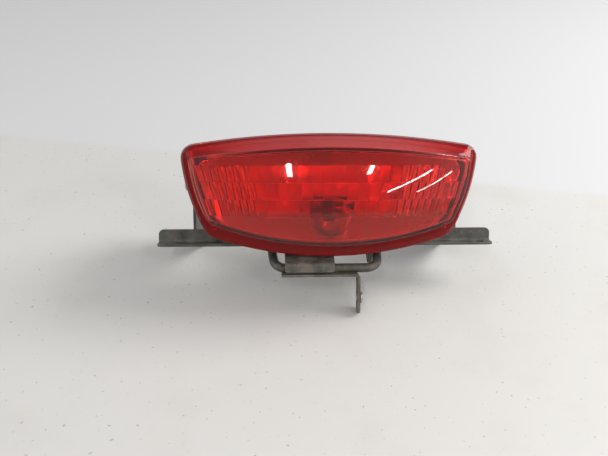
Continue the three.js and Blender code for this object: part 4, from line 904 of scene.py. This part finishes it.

# ---------------------------------------------------------------- lens optics
# Moulded on the lens's inner side are three rows of cells that spread the light: upright
# flutes at both ends and flat prisms between them. They follow the bow of the window. The flutes
# are tinted much paler than the lens's red and the prisms a little paler: painted highlight that
# brightens the ends more than the middle.
ROW_PITCH = 10.3
ROWS_MIDDLE = 38.6
ROW_STAGGER = 2.35
FAN = 0.0035
CELL_LEAN = 0.05
CELL_GAP = 0.25
# Paler than the lens's red, the flutes most: painted highlight for the bright ends and duller middle.
flute_red_painted_highlight = red_plastic("flute_red_painted_highlight", (1.0, 0.85, 0.65), 1.0, 0.04, 0.03)
prism_red_painted_highlight = red_plastic("prism_red_painted_highlight", (0.96, 0.3, 0.22), 1.0, 0.06, 0.05)
for row in range(3):
    height = ROWS_MIDDLE + (1 - row) * ROW_PITCH
    shift = ROW_STAGGER if row == 1 else 0.0
    for name, first, columns, pitch, bulge, wedge, steps, plastic in (
            ("flutes_left", -84.0 + shift, 7, 4.7, 0.65, 1.5, 8, flute_red_painted_highlight),
            ("prisms", -51.1 + shift, 13, 7.2, 0.8, 1.6, 2, prism_red_painted_highlight),
            ("flutes_right", 42.5 + shift, 8, 4.7, 0.65, 1.5, 8, flute_red_painted_highlight)):
        facet = cell_mesh(name, pitch * 0.98, ROW_PITCH * 0.97, bulge, wedge, steps)
        cell = bpy.data.objects.new(name, facet)
        mesh = grown(cell, cell_bank, {"Columns": columns, "Rows": 1, "Column Pitch": pitch,
                                       "Row Pitch": ROW_PITCH, "Lean": CELL_LEAN, "Material": plastic})
        mesh.transform(Matrix.Translation((first + columns * pitch / 2, 0, height)) @ LAMP_MM.inverted())
        for vert in mesh.vertices:
            x, y, z = vert.co
            x *= 1 - FAN * (54 - z)
            vert.co = LAMP_MM @ Vector((x, y + face_depth(x, z) + LENS_WALL + CELL_GAP, z))
        finished(f"{name}_{row + 1}", mesh, plastic)

# ---------------------------------------------------------------- lens screws
# Four pan-head screws pass through the housing's flange from behind into the lens.
for number in range(1, 5):
    refined(f"pan_screw_{number}", f"lens_screw_{number}", zinc, "lamp", 0.2, 40.0)

# ---------------------------------------------------------------- side fixings
# At each side a rubber bush sits in the cheek's hole round a steel sleeve, and a hexagon bolt
# with a plain washer goes through it into the housing.
bush_profile = [(4.9, 86.7), (10.4, 86.7), (10.8, 86.9), (11, 87.3), (11, 88.3), (6.7, 88.3), (6.7, 90.9),
                (11, 90.9), (11, 91.9), (10.8, 92.3), (10.4, 92.5), (4.9, 92.5)]
washer_profile = [(3.3, 92.8), (8.85, 92.8), (9, 92.95), (9, 93.65), (8.85, 93.8), (3.3, 93.8)]
for word, side in (("left", -1), ("right", 1)):
    place = (0, BOLT_BACK, BOLT_HEIGHT)
    axis = (side, 0, 0)
    turned(f"rubber_bush_{word}", bush_profile, place, axis, black_rubber, "lamp", [f"side_bush_{word}"])
    refined(f"spacer_sleeve_{word}", f"side_sleeve_{word}", zinc, "lamp", 0.1, 40.0)
    turned(f"plain_washer_{word}", washer_profile, place, axis, zinc, "lamp", [f"side_washer_{word}"])
    refined(f"hexagon_bolt_{word}", f"side_bolt_{word}", zinc, "lamp", 0.35, 40.0)

# ---------------------------------------------------------------- bulb holder
# A black twist-in holder with two lugs, a rubber seal behind its flange and a rubber boot that
# closes the wires' end.
refined("holder_moulding", "holder_body", black_plastic, "holder", 0.3, 35.0)
refined("seal_ring", "holder_seal", black_rubber, "holder", 0.2, 35.0)
refined("end_boot", "wire_boot", black_rubber, "holder", 0.3, 35.0)

# ---------------------------------------------------------------- socket, spring and contacts
# A thin brass socket with hooked slots, a coil spring and a brown laminate disc that carries
# the two brass contacts.
brass = worn_material("brass", (0.55, 0.38, 0.14), (0.75, 0.55, 0.25), (0.25, 0.15, 0.06),
                      0.4, 0.4, 0.32, 0.1, metallic=1.0, bump=0.00005)
laminate = moulded("laminate", (0.07, 0.03, 0.016), 0.5, 0.1)
refined("brass_socket", "bulb_socket", brass, "holder", 0.12, 35.0)
refined("coil_spring", "carrier_spring", zinc, "holder", 0.0, 60.0)
refined("contact_disc", "contact_carrier", laminate, "carrier", 0.2, 35.0)
for word in ("tail", "stop"):
    refined(f"disc_contact_{word}", f"carrier_contact_{word}", brass, "carrier", 0.15, 35.0)

# ---------------------------------------------------------------- bulb
# A two-filament bayonet bulb: brass cap with two pins, black insulator with two soldered
# contacts, a clear glass ball and the stem that holds the two filaments.
clear_glass, tree, shader = new_material("clear_glass", transmission_weight=1.0)
shader.inputs["IOR"].default_value = 1.5
place = add_node(tree, "ShaderNodeTexCoord").outputs["Object"]
smear = noise(tree, place, 90.0, 4.0)
tree.links.new(ramp(tree, smear, 0.5, end=0.12), shader.inputs["Roughness"])
glow = mixed(tree, smear, (0.98, 0.99, 0.99, 1), (0.93, 0.95, 0.94, 1))
tree.links.new(glow, shader.inputs["Base Color"])
solder = worn_material("solder", (0.5, 0.5, 0.5), (0.65, 0.65, 0.65), (0.3, 0.3, 0.28), 0.3, 0.3, 0.4, 0.05,
                       metallic=1.0, bump=0.00005)
tungsten = worn_material("tungsten", (0.3, 0.29, 0.28), (0.4, 0.4, 0.4), (0.2, 0.2, 0.2), 0.3, 0.2, 0.45, 0.0,
                         metallic=1.0, bump=0.00002)
refined("brass_cap", "bulb_cap", brass, "bulb", 0.12, 35.0)
refined("cap_insulator", "bulb_insulator", black_plastic, "bulb", 0.1, 35.0)
refined("glass_envelope", "bulb_glass", clear_glass, "bulb", 0.0, 60.0)
refined("glass_stem", "bulb_stem", clear_glass, "bulb", 0.0, 60.0)
for word in ("tail", "stop"):
    refined(f"soldered_contact_{word}", f"bulb_contact_{word}", solder, "bulb", 0.15, 35.0)
    refined(f"filament_wire_{word}", f"filament_{word}", tungsten, "bulb", 0.0, 60.0)
